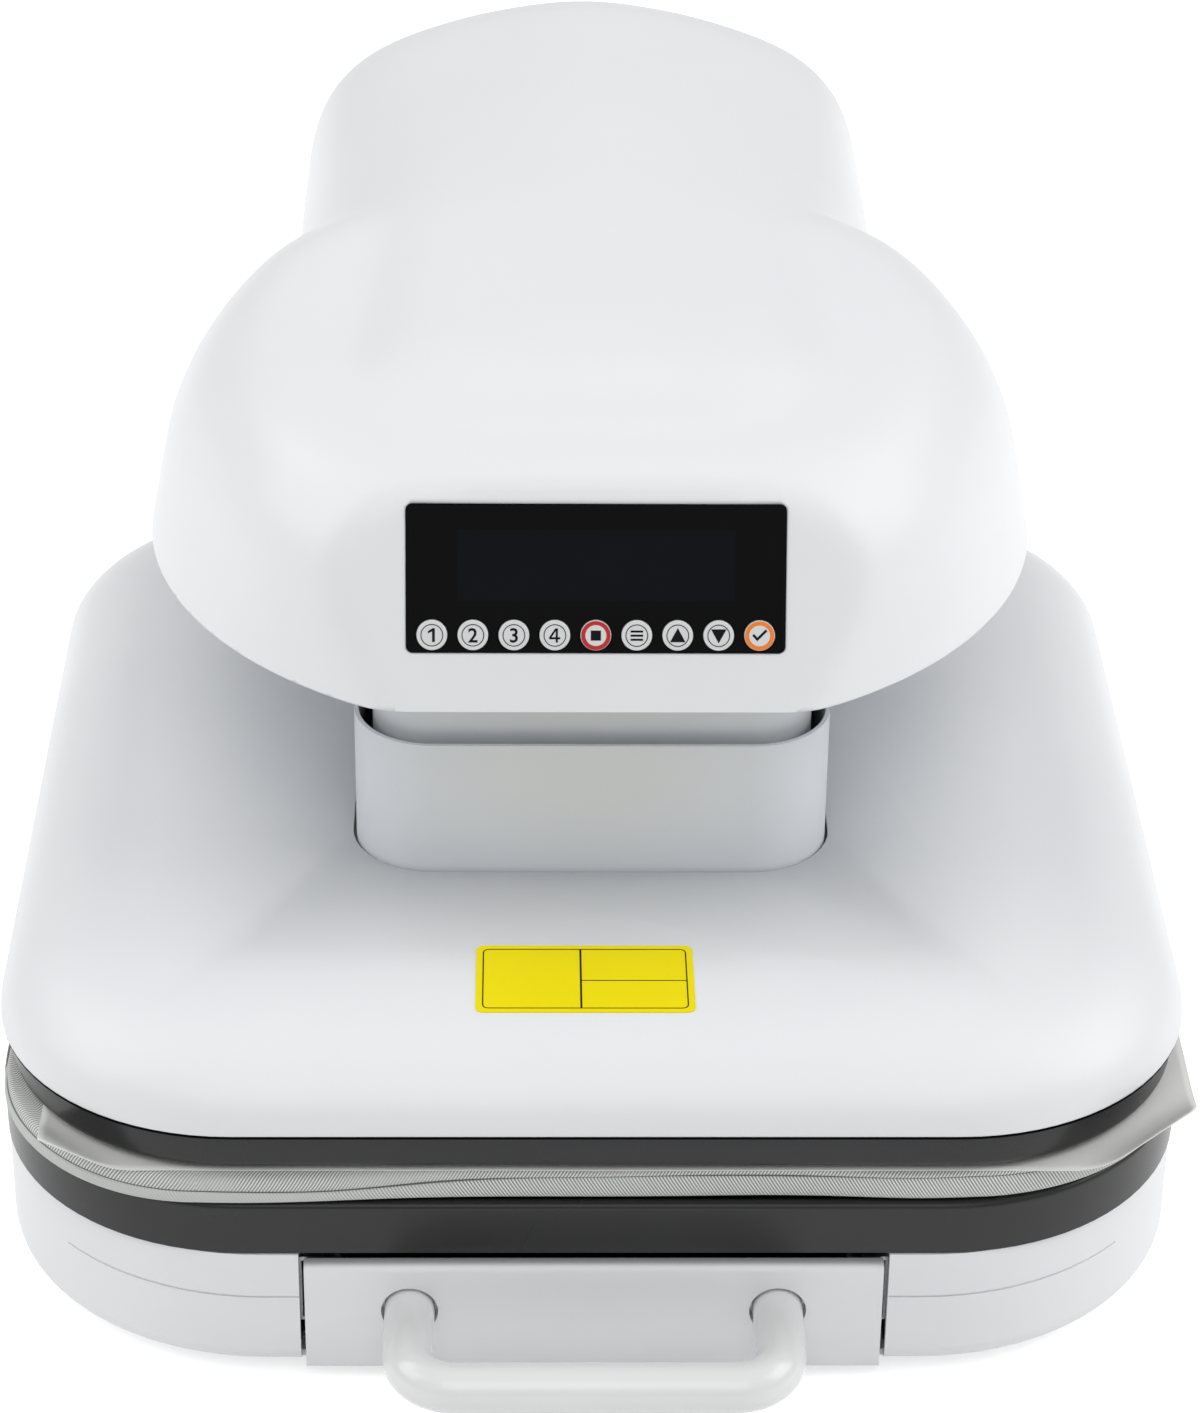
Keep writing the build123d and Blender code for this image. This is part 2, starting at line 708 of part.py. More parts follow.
def control_board():
    """The circuit board behind the lens with one small switch under each button."""
    top = board_top()
    outline = Rectangle(LENS_WIDTH - 2 * BOARD_SIDE_MARGIN, LENS_HEIGHT - 2 * BOARD_END_MARGIN)
    sheet = extrude(outline, amount=BOARD_THICK)
    board = on_face(0, LENS_LOW + LENS_HEIGHT / 2, top - BOARD_THICK, sheet)
    pieces = [board]
    for index in range(BUTTON_COUNT):
        switch = extrude(Rectangle(SWITCH_SIDE, SWITCH_SIDE), amount=SWITCH_HEIGHT)
        pieces.append(on_face(button_x(index), BUTTON_LOW, top, switch))
    return joined(pieces)


def display_module():
    """The number display, which fills the room between the lens and the board."""
    thick = LENS_PROUD - LENS_THICK - board_top()
    body = extrude(Rectangle(DISPLAY_WIDTH, DISPLAY_HEIGHT), amount=thick)
    return on_face(0, DISPLAY_LOW + DISPLAY_HEIGHT / 2, board_top(), body)


# Platen


def platen_outline(inset):
    return RectangleRounded(
        COVER_WIDTH - 2 * inset, COVER_DEPTH - 2 * inset, COVER_CORNER_R - inset
    )


def cover_form(inset):
    body = extrude(platen_outline(inset), amount=COVER_HEIGHT - inset)
    return Pos(0, 0, COVER_RIM_Z) * fillet(
        body.faces().sort_by(Axis.Z)[-1].edges(), min(COVER_EDGE_R, COVER_HEIGHT - 0.2) - inset
    )


def platen_cover():
    side = SLEEVE_SIDE + 2 * SLEEVE_GAP
    hole = block(side, side, 3 * COVER_HEIGHT, z=COVER_RIM_Z, corner=SLEEVE_CORNER_R + SLEEVE_GAP)
    return cover_form(0) - cover_form(SHELL_WALL) - hole


def platen_band():
    """The black pan around the heating plate, under the white cover."""
    low = COVER_RIM_Z - BAND_TOP_GAP - BAND_HEIGHT
    outer = extrude(platen_outline(BAND_INSET), amount=BAND_HEIGHT)
    outer = fillet(outer.faces().sort_by(Axis.Z)[0].edges(), BAND_WALL)
    inner = extrude(platen_outline(BAND_INSET + BAND_WALL), amount=BAND_HEIGHT)
    opening = block(
        PLATE_WIDTH + 2 * JOIN_GAP,
        PLATE_DEPTH + 2 * JOIN_GAP,
        BAND_HEIGHT,
        corner=PLATE_CORNER_R + JOIN_GAP,
    )
    pan = outer - Pos(0, 0, BAND_LIP) * inner - opening
    return Pos(0, 0, low) * pan


def element_path(z):
    """The heating rod's line: parallel runs joined by half turns."""
    span = PLATE_WIDTH / 2 - ELEMENT_SIDE_MARGIN
    reach = PLATE_DEPTH / 2 - ELEMENT_END_MARGIN
    pitch = 2 * span / (ELEMENT_RUNS - 1)
    points = []
    for run in range(ELEMENT_RUNS):
        ends = [-reach, reach] if run % 2 == 0 else [reach, -reach]
        points += [(-span + run * pitch, y, z) for y in ends]
    return FilletPolyline(points, radius=(pitch - ELEMENT_STRAIGHT) / 2)


def heating_element():
    path = element_path(PLATE_Z + PLATE_THICK - ELEMENT_R - JOIN_GAP)
    section = Plane(origin=path @ 0, z_dir=path % 0) * Circle(ELEMENT_R)
    return sweep(section, path=path)


def heat_plate():
    """The cast aluminium plate with an open channel for the heating rod."""
    plate = block(PLATE_WIDTH, PLATE_DEPTH, PLATE_THICK, z=PLATE_Z, corner=PLATE_CORNER_R)
    path = element_path(PLATE_Z + PLATE_THICK)
    width = 2 * (ELEMENT_R + JOIN_GAP)
    depth = 2 * width
    channel = sweep(Plane(origin=path @ 0, z_dir=path % 0) * Rectangle(width, depth), path=path)
    ends = [post(width / 2, depth, point.X, point.Y, point.Z - width) for point in (path @ 0, path @ 1)]
    return plate - channel - joined(ends)


def insulation_blanket():
    """Ceramic fibre over the plate, cut out around the standoffs and the probe."""
    blanket = block(
        PLATE_WIDTH - 2 * BLANKET_MARGIN,
        PLATE_DEPTH - 2 * BLANKET_MARGIN,
        BLANKET_THICK,
        z=PLATE_Z + PLATE_THICK + JOIN_GAP,
        corner=PLATE_CORNER_R,
    )
    z = PLATE_Z + PLATE_THICK
    for x, y in four_corners(STANDOFF_X, STANDOFF_X):
        blanket = blanket - post(STANDOFF_R + SLIDE_GAP, 2 * BLANKET_THICK, x, y, z)
    return blanket - post(PROBE_R + SLIDE_GAP, 2 * BLANKET_THICK, PROBE_X, 0, z)


def lift_plate_z():
    return PLATE_Z + PLATE_THICK + STANDOFF_HEIGHT


def standoffs():
    """Four ceramic standoffs between the hot plate and the lift plate."""
    stand = post(STANDOFF_R, STANDOFF_HEIGHT, z=PLATE_Z + PLATE_THICK)
    return [Pos(x, y) * stand for x, y in four_corners(STANDOFF_X, STANDOFF_X)]


def temperature_probe():
    """The round thermostat clipped to the top of the hot plate."""
    can = post(PROBE_R, PROBE_HEIGHT, PROBE_X, 0, PLATE_Z + PLATE_THICK)
    return fillet(can.faces().sort_by(Axis.Z)[-1].edges(), PROBE_EDGE_R)


def lift_plate():
    """The steel plate on the standoffs that the drive, the rods and the sleeve stand on."""
    return block(
        LIFT_PLATE_SIDE, LIFT_PLATE_SIDE, LIFT_PLATE_THICK, z=lift_plate_z(), corner=SLEEVE_CORNER_R
    )


def sleeve():
    """The square tube that stands on the lift plate and shows above the cover."""
    low = lift_plate_z() + LIFT_PLATE_THICK
    height = SLEEVE_TOP_Z - low
    inner = SLEEVE_SIDE - 2 * SLEEVE_WALL
    tube = block(SLEEVE_SIDE, SLEEVE_SIDE, height, z=low, corner=SLEEVE_CORNER_R)
    return tube - block(inner, inner, height, z=low, corner=SLEEVE_CORNER_R - SLEEVE_WALL)


def guide_rods():
    low = lift_plate_z() + LIFT_PLATE_THICK
    rod = post(ROD_R, ROD_TOP_Z - low, z=low)
    rod = chamfer(rod.faces().sort_by(Axis.Z)[-1].edges(), ROD_CHAMFER)
    return [Pos(x, y) * rod for x, y in four_corners(ROD_X, ROD_X)]


def lift_nut():
    """The bronze nut on its post, which the screw turns in."""
    low = lift_plate_z() + LIFT_PLATE_THICK
    nut_low = NUT_TOP_Z - NUT_HEIGHT
    stand = post(NUT_POST_R, nut_low - low, z=low) - post(NUT_POST_BORE, nut_low - low, z=low)
    nut = post(NUT_R, NUT_HEIGHT, z=nut_low) - post(SCREW_R + RUNNING_GAP, NUT_HEIGHT, z=nut_low)
    return stand + nut


def cover_label():
    """A thin sticker on the flat of the cover."""
    top = COVER_RIM_Z + COVER_HEIGHT
    y = -COVER_DEPTH / 2 + LABEL_FROM_FRONT
    return block(LABEL_WIDTH, LABEL_DEPTH, LABEL_THICK, LABEL_X, y, top, LABEL_CORNER_R)


# Lift drive


def lead_screw():
    low = lift_plate_z() + LIFT_PLATE_THICK + PLATEN_LIFT + SCREW_END_GAP
    screw = post(SCREW_R, SCREW_TOP_Z - low, z=low)
    return chamfer(screw.faces().sort_by(Axis.Z)[0].edges(), SCREW_CHAMFER)


def flanged_pulley(shaft_r):
    """A belt pulley with a flange at each end, standing at z = 0."""
    drum = post(PULLEY_R, PULLEY_HEIGHT)
    rim = PULLEY_R + PULLEY_FLANGE
    low = post(rim, PULLEY_FLANGE_THICK)
    high = post(rim, PULLEY_FLANGE_THICK, z=PULLEY_HEIGHT - PULLEY_FLANGE_THICK)
    return drum + low + high - post(shaft_r, PULLEY_HEIGHT)


def screw_pulley():
    return Pos(0, 0, PULLEY_Z) * flanged_pulley(SCREW_R)


def motor_pulley():
    """The motor's own pulley on the end of its shaft."""
    low = BRIDGE_Z + SLIDE_GAP
    shaft = post(MOTOR_SHAFT_R, PULLEY_Z + PULLEY_HEIGHT - low, z=low)
    return Pos(0, MOTOR_Y, 0) * (Pos(0, 0, PULLEY_Z) * flanged_pulley(MOTOR_SHAFT_R) + shaft)


def gear_motor():
    """The motor and its gearbox, hung under the bridge plate inside the column."""
    body = post(MOTOR_R, MOTOR_HEIGHT, z=BRIDGE_Z - MOTOR_HEIGHT)
    body = fillet(body.faces().sort_by(Axis.Z)[0].edges(), MOTOR_EDGE_R)
    joint = post(MOTOR_R + MOTOR_RING_STEP, MOTOR_RING_HEIGHT, z=BRIDGE_Z - MOTOR_RING_DROP)
    return Pos(0, MOTOR_Y, 0) * (body + joint)


def drive_belt():
    """The toothed belt around both pulleys, drawn as a plain loop."""
    reach = PULLEY_R + JOIN_GAP
    loop = SlotCenterToCenter(MOTOR_Y, 2 * (reach + BELT_THICK)) - SlotCenterToCenter(MOTOR_Y, 2 * reach)
    z = PULLEY_Z + (PULLEY_HEIGHT - BELT_WIDTH) / 2
    return Pos(0, MOTOR_Y / 2, z) * extrude(Rot(0, 0, 90) * loop, amount=BELT_WIDTH)


# Drawer


def drawer_front():
    """The white panel between the two front wings of the base."""
    y = -BASE_DEPTH / 2 + PANEL_THICK / 2
    panel = block(PANEL_WIDTH, PANEL_THICK, PANEL_HEIGHT, y=y, z=PANEL_LOW_Z)
    front_edges = [e for e in panel.edges() if e.center().Y < y - PANEL_THICK / 2 + 1e-4]
    level_edges = [e for e in front_edges if abs(e.center().X) < 1]
    panel = fillet(level_edges, PANEL_LIP_R)
    for x in (-HANDLE_SPACING / 2, HANDLE_SPACING / 2):
        hole = Pos(x, y, HANDLE_Z) * Rot(90, 0, 0) * Cylinder(HANDLE_TUBE_R + HANDLE_RING, 4 * PANEL_THICK)
        panel = panel - hole
    return panel


def drawer_handle():
    """A bent tube with its two ends let into the drawer's panel."""
    x = HANDLE_SPACING / 2
    back = -BASE_DEPTH / 2 + PANEL_THICK
    front = -BASE_DEPTH / 2 - HANDLE_REACH
    points = [(-x, back, HANDLE_Z), (-x, front, HANDLE_Z), (x, front, HANDLE_Z), (x, back, HANDLE_Z)]
    path = FilletPolyline(points, radius=HANDLE_BEND_R)
    plane = Plane(origin=path @ 0, z_dir=path % 0)
    tube = sweep(plane * Circle(HANDLE_TUBE_R), path=path)
    return tube - sweep(plane * Circle(HANDLE_TUBE_R - HANDLE_WALL), path=path)


def handle_screws():
    """The screws behind the panel that pull the handle's ends in."""
    y = -BASE_DEPTH / 2 + PANEL_THICK + SHEET_STEEL
    screws = []
    for x in (-HANDLE_SPACING / 2, HANDLE_SPACING / 2):
        head = Pos(x, y + SCREW_HEAD_HEIGHT / 2, HANDLE_Z) * Rot(90, 0, 0) * Cylinder(
            SCREW_HEAD_R, SCREW_HEAD_HEIGHT
        )
        screws.append(head)
    return screws


def drawer_carriage():
    """The folded steel sled under the tray, with a front flange behind the panel."""
    front = -BASE_DEPTH / 2 + PANEL_THICK
    y = front + CARRIAGE_LENGTH / 2
    top = block(CARRIAGE_WIDTH, CARRIAGE_LENGTH, SHEET_STEEL, y=y, z=TRAY_Z - SHEET_STEEL)
    cheek_height = TRAY_Z - CARRIAGE_LOW_Z
    cheek_x = CARRIAGE_WIDTH / 2 - SHEET_STEEL / 2
    cheek = block(SHEET_STEEL, CARRIAGE_LENGTH, cheek_height, cheek_x, y, CARRIAGE_LOW_Z)
    apron_height = PANEL_LOW_Z + PANEL_HEIGHT - PANEL_LIP_R - CARRIAGE_LOW_Z
    apron = block(CARRIAGE_WIDTH, SHEET_STEEL, apron_height, y=front + SHEET_STEEL / 2, z=CARRIAGE_LOW_Z)
    notch = block(
        CARRIAGE_WIDTH + 2 * CUT_OVER,
        CARRIAGE_NOTCH,
        TRAY_Z,
        y=front + CARRIAGE_NOTCH / 2,
        z=CARRIAGE_LOW_Z + apron_height,
    )
    return joined([top, apron] + both_sides(cheek)) - notch


def rail_channel(outer_x, depth, height, length, y):
    """A C-shaped slide member on the right, open towards the middle of the object."""
    z = RAIL_LOW_Z + (RAIL_HEIGHT - height) / 2
    bar = block(depth, length, height, outer_x - depth / 2, y, z)
    hollow = block(
        depth,
        length + 2 * CUT_OVER,
        height - 2 * RAIL_SHEET,
        outer_x - depth / 2 - RAIL_SHEET,
        y,
        z + RAIL_SHEET,
    )
    return bar - hollow


def rail_y():
    """Middle of the slides, which start just behind the carriage's front flange."""
    return -BASE_DEPTH / 2 + PANEL_THICK + SHEET_STEEL + RAIL_START_GAP + RAIL_LENGTH / 2


def rail_step():
    """How far each slide member sits inside the one around it, up and down."""
    return RAIL_SHEET + SLIDE_GAP


def rail_outer():
    depth = RAIL_WIDTH - RAIL_OUTER_SETBACK
    return both_sides(rail_channel(rail_wall_x(), depth, RAIL_HEIGHT, RAIL_LENGTH, rail_y()))


def rail_middle():
    depth = RAIL_WIDTH - RAIL_MIDDLE_SETBACK
    height = RAIL_HEIGHT - 2 * rail_step()
    length = RAIL_LENGTH - RAIL_MIDDLE_SHORTER
    return both_sides(rail_channel(rail_wall_x() - rail_step(), depth, height, length, rail_y()))


def rail_inner():
    """The member screwed to the carriage, open towards the outside."""
    height = RAIL_HEIGHT - 4 * rail_step()
    depth = RAIL_WIDTH - 2 * rail_step()
    z = RAIL_LOW_Z + (RAIL_HEIGHT - height) / 2
    x = CARRIAGE_WIDTH / 2 + depth / 2
    bar = block(depth, RAIL_LENGTH, height, x, rail_y(), z)
    hollow = block(
        depth,
        RAIL_LENGTH + 2 * CUT_OVER,
        height - 2 * RAIL_SHEET,
        x + RAIL_SHEET,
        rail_y(),
        z + RAIL_SHEET,
    )
    return both_sides(bar - hollow)


def tray_outline(inset):
    return RectangleRounded(TRAY_WIDTH - 2 * inset, TRAY_DEPTH - 2 * inset, TRAY_CORNER_R - inset)


def lower_tray():
    """The black tray that holds the bed and its pad."""
    outer = extrude(tray_outline(0), amount=TRAY_HEIGHT)
    inner = Pos(0, 0, SHEET_STEEL) * extrude(tray_outline(TRAY_WALL), amount=TRAY_HEIGHT)
    tray = outer - inner
    tray = fillet(tray.faces().sort_by(Axis.Z)[-1].edges(), TRAY_BEAD_R)
    return Pos(0, 0, TRAY_Z) * tray


def bed_plate():
    """The plate in the tray that backs the pad."""
    width = PAD_WIDTH + 2 * BED_OVERHANG
    depth = PAD_DEPTH + 2 * BED_OVERHANG
    return block(width, depth, BED_THICK, z=TRAY_Z + SHEET_STEEL, corner=PLATE_CORNER_R)


def foam_pad():
    """The silicone sponge that the cover is drawn over."""
    low = TRAY_Z + SHEET_STEEL + BED_THICK
    return block(PAD_WIDTH, PAD_DEPTH, PAD_TOP_Z - low, z=low, corner=PLATE_CORNER_R)


def fabric_side(length):
    """A wavy side from (0, 0) to (length, 0): shallow arcs that swell and draw in by turns."""
    step = length / FABRIC_WAVES
    bulge = FABRIC_WAVE * step / FABRIC_WAVE_LENGTH
    arcs = []
    for index in range(FABRIC_WAVES):
        start = (index * step, 0)
        middle = ((index + 0.5) * step, -bulge if index % 2 == 0 else bulge * 0.5)
        arcs.append(ThreePointArc(start, middle, ((index + 1) * step, 0)))
    return arcs


def fabric_outline(inset):
    """Plan of the cloth cover: rounded corners and sides that swell and draw in."""
    width = PAD_WIDTH + 2 * (FABRIC_OVERHANG - inset)
    depth = PAD_DEPTH + 2 * (FABRIC_OVERHANG - inset)
    radius = FABRIC_CORNER_R - inset
    lines = []
    for turn in range(4):
        length, out = (width, depth) if turn % 2 == 0 else (depth, width)
        straight = length - 2 * radius
        place = Rot(0, 0, 90 * turn) * Pos(-straight / 2, -out / 2, 0)
        lines += [place * arc for arc in fabric_side(straight)]
        corner = CenterArc((straight / 2, -out / 2 + radius), radius, -90, 90)
        lines.append(Rot(0, 0, 90 * turn) * corner)
    return make_face(Wire(lines))


def pad_cover():
    """The twill cover over the sponge, with drawn-in sides above and below its swell."""
    height = FABRIC_TOP_Z - PAD_TOP_Z
    body = extrude(fabric_outline(0), amount=height)
    top = body.faces().sort_by(Axis.Z)[-1].edges()
    bottom = body.faces().sort_by(Axis.Z)[0].edges()
    return Pos(0, 0, PAD_TOP_Z) * fillet(top + bottom, FABRIC_BULGE)


def release_sheet():
    """The thin square release sheet, pulled forward and to the right, its corners past the round ones."""
    width = PAD_WIDTH + 2 * SHEET_SIDE_OVERHANG
    depth = PAD_DEPTH + SHEET_FRONT_OVERHANG
    sheet = block(width, depth, SHEET_THICK)
    return Pos(SHEET_X, -SHEET_FRONT_OVERHANG / 2, FABRIC_TOP_Z + SHEET_LIFT) * sheet


# Power side of the column


def power_inlet():
    """The mains socket with the frame of its rocker switch above it."""
    back = COLUMN_BACK - JOIN_GAP
    body_y = back - INLET_DEPTH / 2
    low = INLET_Z - INLET_HEIGHT / 2
    body = block(INLET_WIDTH, INLET_DEPTH, INLET_HEIGHT, y=body_y, z=low)
    socket_z = low + SOCKET_DROP + SOCKET_HEIGHT / 2
    corners = Rectangle(SOCKET_WIDTH, SOCKET_HEIGHT)
    corners = chamfer(corners.vertices().sort_by(Axis.Y)[-2:], SOCKET_CORNER)
    mouth = Plane(origin=(0, back + CUT_OVER, socket_z), x_dir=(-1, 0, 0), z_dir=(0, -1, 0))
    socket = extrude(mouth * corners, amount=SOCKET_DEPTH + CUT_OVER)
    switch_y, switch_z = rocker_centre()
    well_depth = ROCKER_THICK + ROCKER_WELL_ROOM
    well = block(
        ROCKER_WIDTH + 2 * SLIDE_GAP,
        well_depth,
        ROCKER_HEIGHT + 2 * SLIDE_GAP,
        y=back - well_depth / 2 + CUT_OVER,
        z=switch_z - ROCKER_HEIGHT / 2 - SLIDE_GAP,
    )
    axle_hole = Pos(0, switch_y, switch_z) * Rot(0, 90, 0) * Cylinder(
        ROCKER_AXLE_R + RUNNING_GAP, ROCKER_WIDTH + ROCKER_AXLE_REACH + 2 * JOIN_GAP
    )
    body = body - socket - well - axle_hole
    pin_y = back - SOCKET_DEPTH + PIN_LENGTH / 2
    for x, rise in ((-PIN_SPACING, -PIN_RISE), (PIN_SPACING, -PIN_RISE), (0, PIN_RISE)):
        body = body + block(PIN_WIDTH, PIN_LENGTH, PIN_HEIGHT, x, pin_y, socket_z + rise)
    return body


def rocker_centre():
    """Middle of the rocker's axle, deep enough that the tipped rocker stays inside the back."""
    return COLUMN_BACK - JOIN_GAP - ROCKER_THICK / 2 - ROCKER_SINK, INLET_Z + ROCKER_RISE


def power_rocker():
    """The switch's rocker, tipped to its off side, on an axle in the frame's two cheeks."""
    y, z = rocker_centre()
    cap = Box(ROCKER_WIDTH, ROCKER_THICK, ROCKER_HEIGHT)
    axle = Rot(0, 90, 0) * Cylinder(ROCKER_AXLE_R, ROCKER_WIDTH + ROCKER_AXLE_REACH)
    dish = Pos(0, ROCKER_THICK / 2 + ROCKER_DISH_R - ROCKER_DISH, 0) * Rot(0, 90, 0) * Cylinder(
        ROCKER_DISH_R, 2 * ROCKER_WIDTH
    )
    return Pos(0, y, z) * Rot(-ROCKER_TILT / 2, 0, 0) * (cap + axle - dish)


def fan_y():
    """Middle of the fan, just inside the vents."""
    return COLUMN_BACK - SHELL_WALL - JOIN_GAP - FAN_DEPTH / 2


def fan_frame():
    """The fan's square frame with three spokes that hold its hub."""
    frame = Box(FAN_SIDE, FAN_DEPTH, FAN_SIDE)
    bore = Rot(90, 0, 0) * Cylinder(FAN_BORE_R + SLIDE_GAP, 2 * FAN_DEPTH)
    frame = frame - bore
    spoke_y = (FAN_SPOKE_THICK - FAN_DEPTH) / 2
    length = FAN_BORE_R + CUT_OVER
    for turn in (90, 210, 330):
        spoke = Pos(length / 2, spoke_y, 0) * Box(length, FAN_SPOKE_THICK, FAN_SPOKE_WIDTH)
        frame = frame + Rot(0, turn, 0) * spoke
    boss = Pos(0, spoke_y, 0) * Rot(90, 0, 0) * Cylinder(FAN_HUB_R, FAN_SPOKE_THICK)
    axle = Rot(90, 0, 0) * Cylinder(FAN_AXLE_R, FAN_DEPTH - FAN_SPOKE_THICK)
    return Pos(0, fan_y(), FAN_Z) * (frame + boss + axle)


def fan_rotor():
    """The fan's hub and its pitched blades."""
    depth = FAN_DEPTH - FAN_ROTOR_ROOM
    rotor = Rot(90, 0, 0) * Cylinder(FAN_HUB_R, depth)
    root = FAN_HUB_R - FAN_BLADE_ROOT
    length = FAN_BORE_R - SLIDE_GAP - root
    for index in range(FAN_BLADES):
        blade = Box(length, FAN_BLADE_THICK, depth - 2 * SLIDE_GAP)
        blade = Pos(root + length / 2, 0, 0) * Rot(90 - FAN_BLADE_PITCH, 0, 0) * blade
        rotor = rotor + Rot(0, index * 360 / FAN_BLADES, 0) * blade
    bore = Rot(90, 0, 0) * Cylinder(FAN_AXLE_R + RUNNING_GAP, FAN_DEPTH)
    return Pos(0, fan_y() + FAN_SPOKE_THICK / 2, FAN_Z) * (rotor - bore)


def power_board():
    """The power board on four posts above the bottom plate, with its main parts."""
    low = SHELL_WALL + SHEET_STEEL
    board = block(POWER_BOARD_WIDTH, POWER_BOARD_DEPTH, BOARD_THICK, y=POWER_BOARD_Y, z=POWER_BOARD_Z)
    pieces = [board]
    for x, y in four_corners(POWER_BOARD_WIDTH / 2 - POST_INSET, POWER_BOARD_DEPTH / 2 - POST_INSET):
        pieces.append(post(POST_R, POWER_BOARD_Z - low, x, POWER_BOARD_Y + y, low))
    top = POWER_BOARD_Z + BOARD_THICK
    transformer = block(TRANSFORMER_WIDTH, TRANSFORMER_DEPTH, TRANSFORMER_HEIGHT)
    relay = block(RELAY_WIDTH, RELAY_DEPTH, RELAY_HEIGHT)
    capacitor = post(CAPACITOR_R, CAPACITOR_HEIGHT)
    pieces.append(Pos(TRANSFORMER_X, POWER_BOARD_Y, top) * transformer)
    pieces.append(Pos(RELAY_X, POWER_BOARD_Y + RELAY_Y, top) * relay)
    pieces.append(Pos(CAPACITOR_X, POWER_BOARD_Y + CAPACITOR_Y, top) * capacitor)
    return joined(pieces)


os.makedirs("parts", exist_ok=True)

save("base_housing", base_housing())
save("bottom_plate", bottom_plate())
save("feet", *feet())
save("frame_side_left", frame_side(-1))
save("frame_side_right", frame_side(1))
save("bridge_plate", bridge_plate())
save("frame_screws", *frame_screws())
save("guide_bushings", *guide_bushings())
save("screw_bearing", screw_bearing())
save("head_shell", head_shell())
save("head_floor", head_floor())
save("inner_column", inner_column())
save("column_front_cover", column_front_cover())
save("column_rear_cover", column_rear_cover())
save("panel_lens", panel_lens())
save("control_board", control_board())
save("display_module", display_module())
for number, button_name in enumerate(BUTTON_NAMES):
    save(button_name, push_button(number))
save("gear_motor", gear_motor())
save("motor_pulley", motor_pulley())
save("drive_belt", drive_belt())
save("lead_screw", lead_screw())
save("screw_pulley", screw_pulley())
save("power_board", power_board())
save("power_inlet", power_inlet())
save("power_rocker", power_rocker())
save("fan_frame", fan_frame())
save("fan_rotor", fan_rotor())
save("platen_cover", platen_cover())
save("platen_band", platen_band())
save("heat_plate", heat_plate())
save("heating_element", heating_element())
save("insulation_blanket", insulation_blanket())
save("standoffs", *standoffs())
save("temperature_probe", temperature_probe())
save("lift_plate", lift_plate())
save("sleeve", sleeve())
save("guide_rods", *guide_rods())
save("lift_nut", lift_nut())
save("cover_label", cover_label())
save("drawer_front", drawer_front())
save("drawer_handle", drawer_handle())
save("handle_screws", *handle_screws())
save("drawer_carriage", drawer_carriage())
save("rail_outer", *rail_outer())
save("rail_middle", *rail_middle())
save("rail_inner", *rail_inner())
save("lower_tray", lower_tray())
save("bed_plate", bed_plate())
save("foam_pad", foam_pad())
save("pad_cover", pad_cover())
save("release_sheet", release_sheet())
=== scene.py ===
import bpy
import bmesh
import math
from mathutils import Matrix, Vector, noise


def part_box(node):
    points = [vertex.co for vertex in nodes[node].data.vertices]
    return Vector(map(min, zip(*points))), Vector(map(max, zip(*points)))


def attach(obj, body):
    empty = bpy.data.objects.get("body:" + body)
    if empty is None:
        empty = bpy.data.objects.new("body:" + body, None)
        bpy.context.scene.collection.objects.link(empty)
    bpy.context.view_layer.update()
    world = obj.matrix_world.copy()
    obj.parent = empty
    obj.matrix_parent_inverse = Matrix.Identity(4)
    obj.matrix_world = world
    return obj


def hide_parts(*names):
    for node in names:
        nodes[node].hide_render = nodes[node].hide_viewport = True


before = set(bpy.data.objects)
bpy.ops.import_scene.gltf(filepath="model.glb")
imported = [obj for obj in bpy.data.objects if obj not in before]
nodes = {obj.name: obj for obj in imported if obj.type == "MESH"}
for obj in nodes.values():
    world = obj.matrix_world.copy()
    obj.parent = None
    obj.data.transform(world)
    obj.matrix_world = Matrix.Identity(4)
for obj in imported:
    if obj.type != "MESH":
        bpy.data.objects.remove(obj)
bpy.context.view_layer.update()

# The camera stands in front of the press and a little to its left, above head height, and looks
# down at it through a long lens. Its place and turn were fitted to the outlines of the real one.
CAMERA_PLACE = Vector((-0.0235, -1.36625, 0.919))
CAMERA_PITCH = math.radians(30.58)
CAMERA_YAW = math.radians(1.2)
CAMERA_ROLL = math.radians(0.72)
LENS_PIXELS = 4122.0
PICTURE_HEIGHT = 1413.0
SENSOR = 36.0


def camera_turn():
    """The camera's axes: across the picture, up it, and back towards the viewer."""
    ahead = Vector((
        math.sin(CAMERA_YAW) * math.cos(CAMERA_PITCH),
        math.cos(CAMERA_YAW) * math.cos(CAMERA_PITCH),
        -math.sin(CAMERA_PITCH),
    ))
    level = Vector((math.cos(CAMERA_YAW), -math.sin(CAMERA_YAW), 0.0))
    upright = level.cross(ahead)
    across = level * math.cos(CAMERA_ROLL) + upright * math.sin(CAMERA_ROLL)
    up = upright * math.cos(CAMERA_ROLL) - level * math.sin(CAMERA_ROLL)
    return Matrix((across, up, -ahead)).transposed().to_4x4()


camera_data = bpy.data.cameras.new("camera")
camera_data.sensor_width = SENSOR
camera_data.lens = LENS_PIXELS * SENSOR / PICTURE_HEIGHT
camera = bpy.data.objects.new("camera", camera_data)
camera.matrix_world = Matrix.Translation(CAMERA_PLACE) @ camera_turn()
bpy.context.scene.collection.objects.link(camera)
bpy.context.scene.camera = camera
bpy.context.scene.view_settings.view_transform = "Standard"

# The studio is a plain pale table top with a wide soft lamp in front, one on either side and two
# behind, in an even white room. The floor shows as white to the camera and in gloss, and keeps the
# press's own shadow.
FLOOR_SIDE = 14.0
FLOOR_COLOUR = (0.86, 0.86, 0.86, 1)
FLOOR_GLOW = 0.55
WORLD_COLOUR = (0.975, 0.98, 0.99, 1)
WORLD_LIGHT = 0.50
LAMP_TARGET = (0, 0, 0.15)
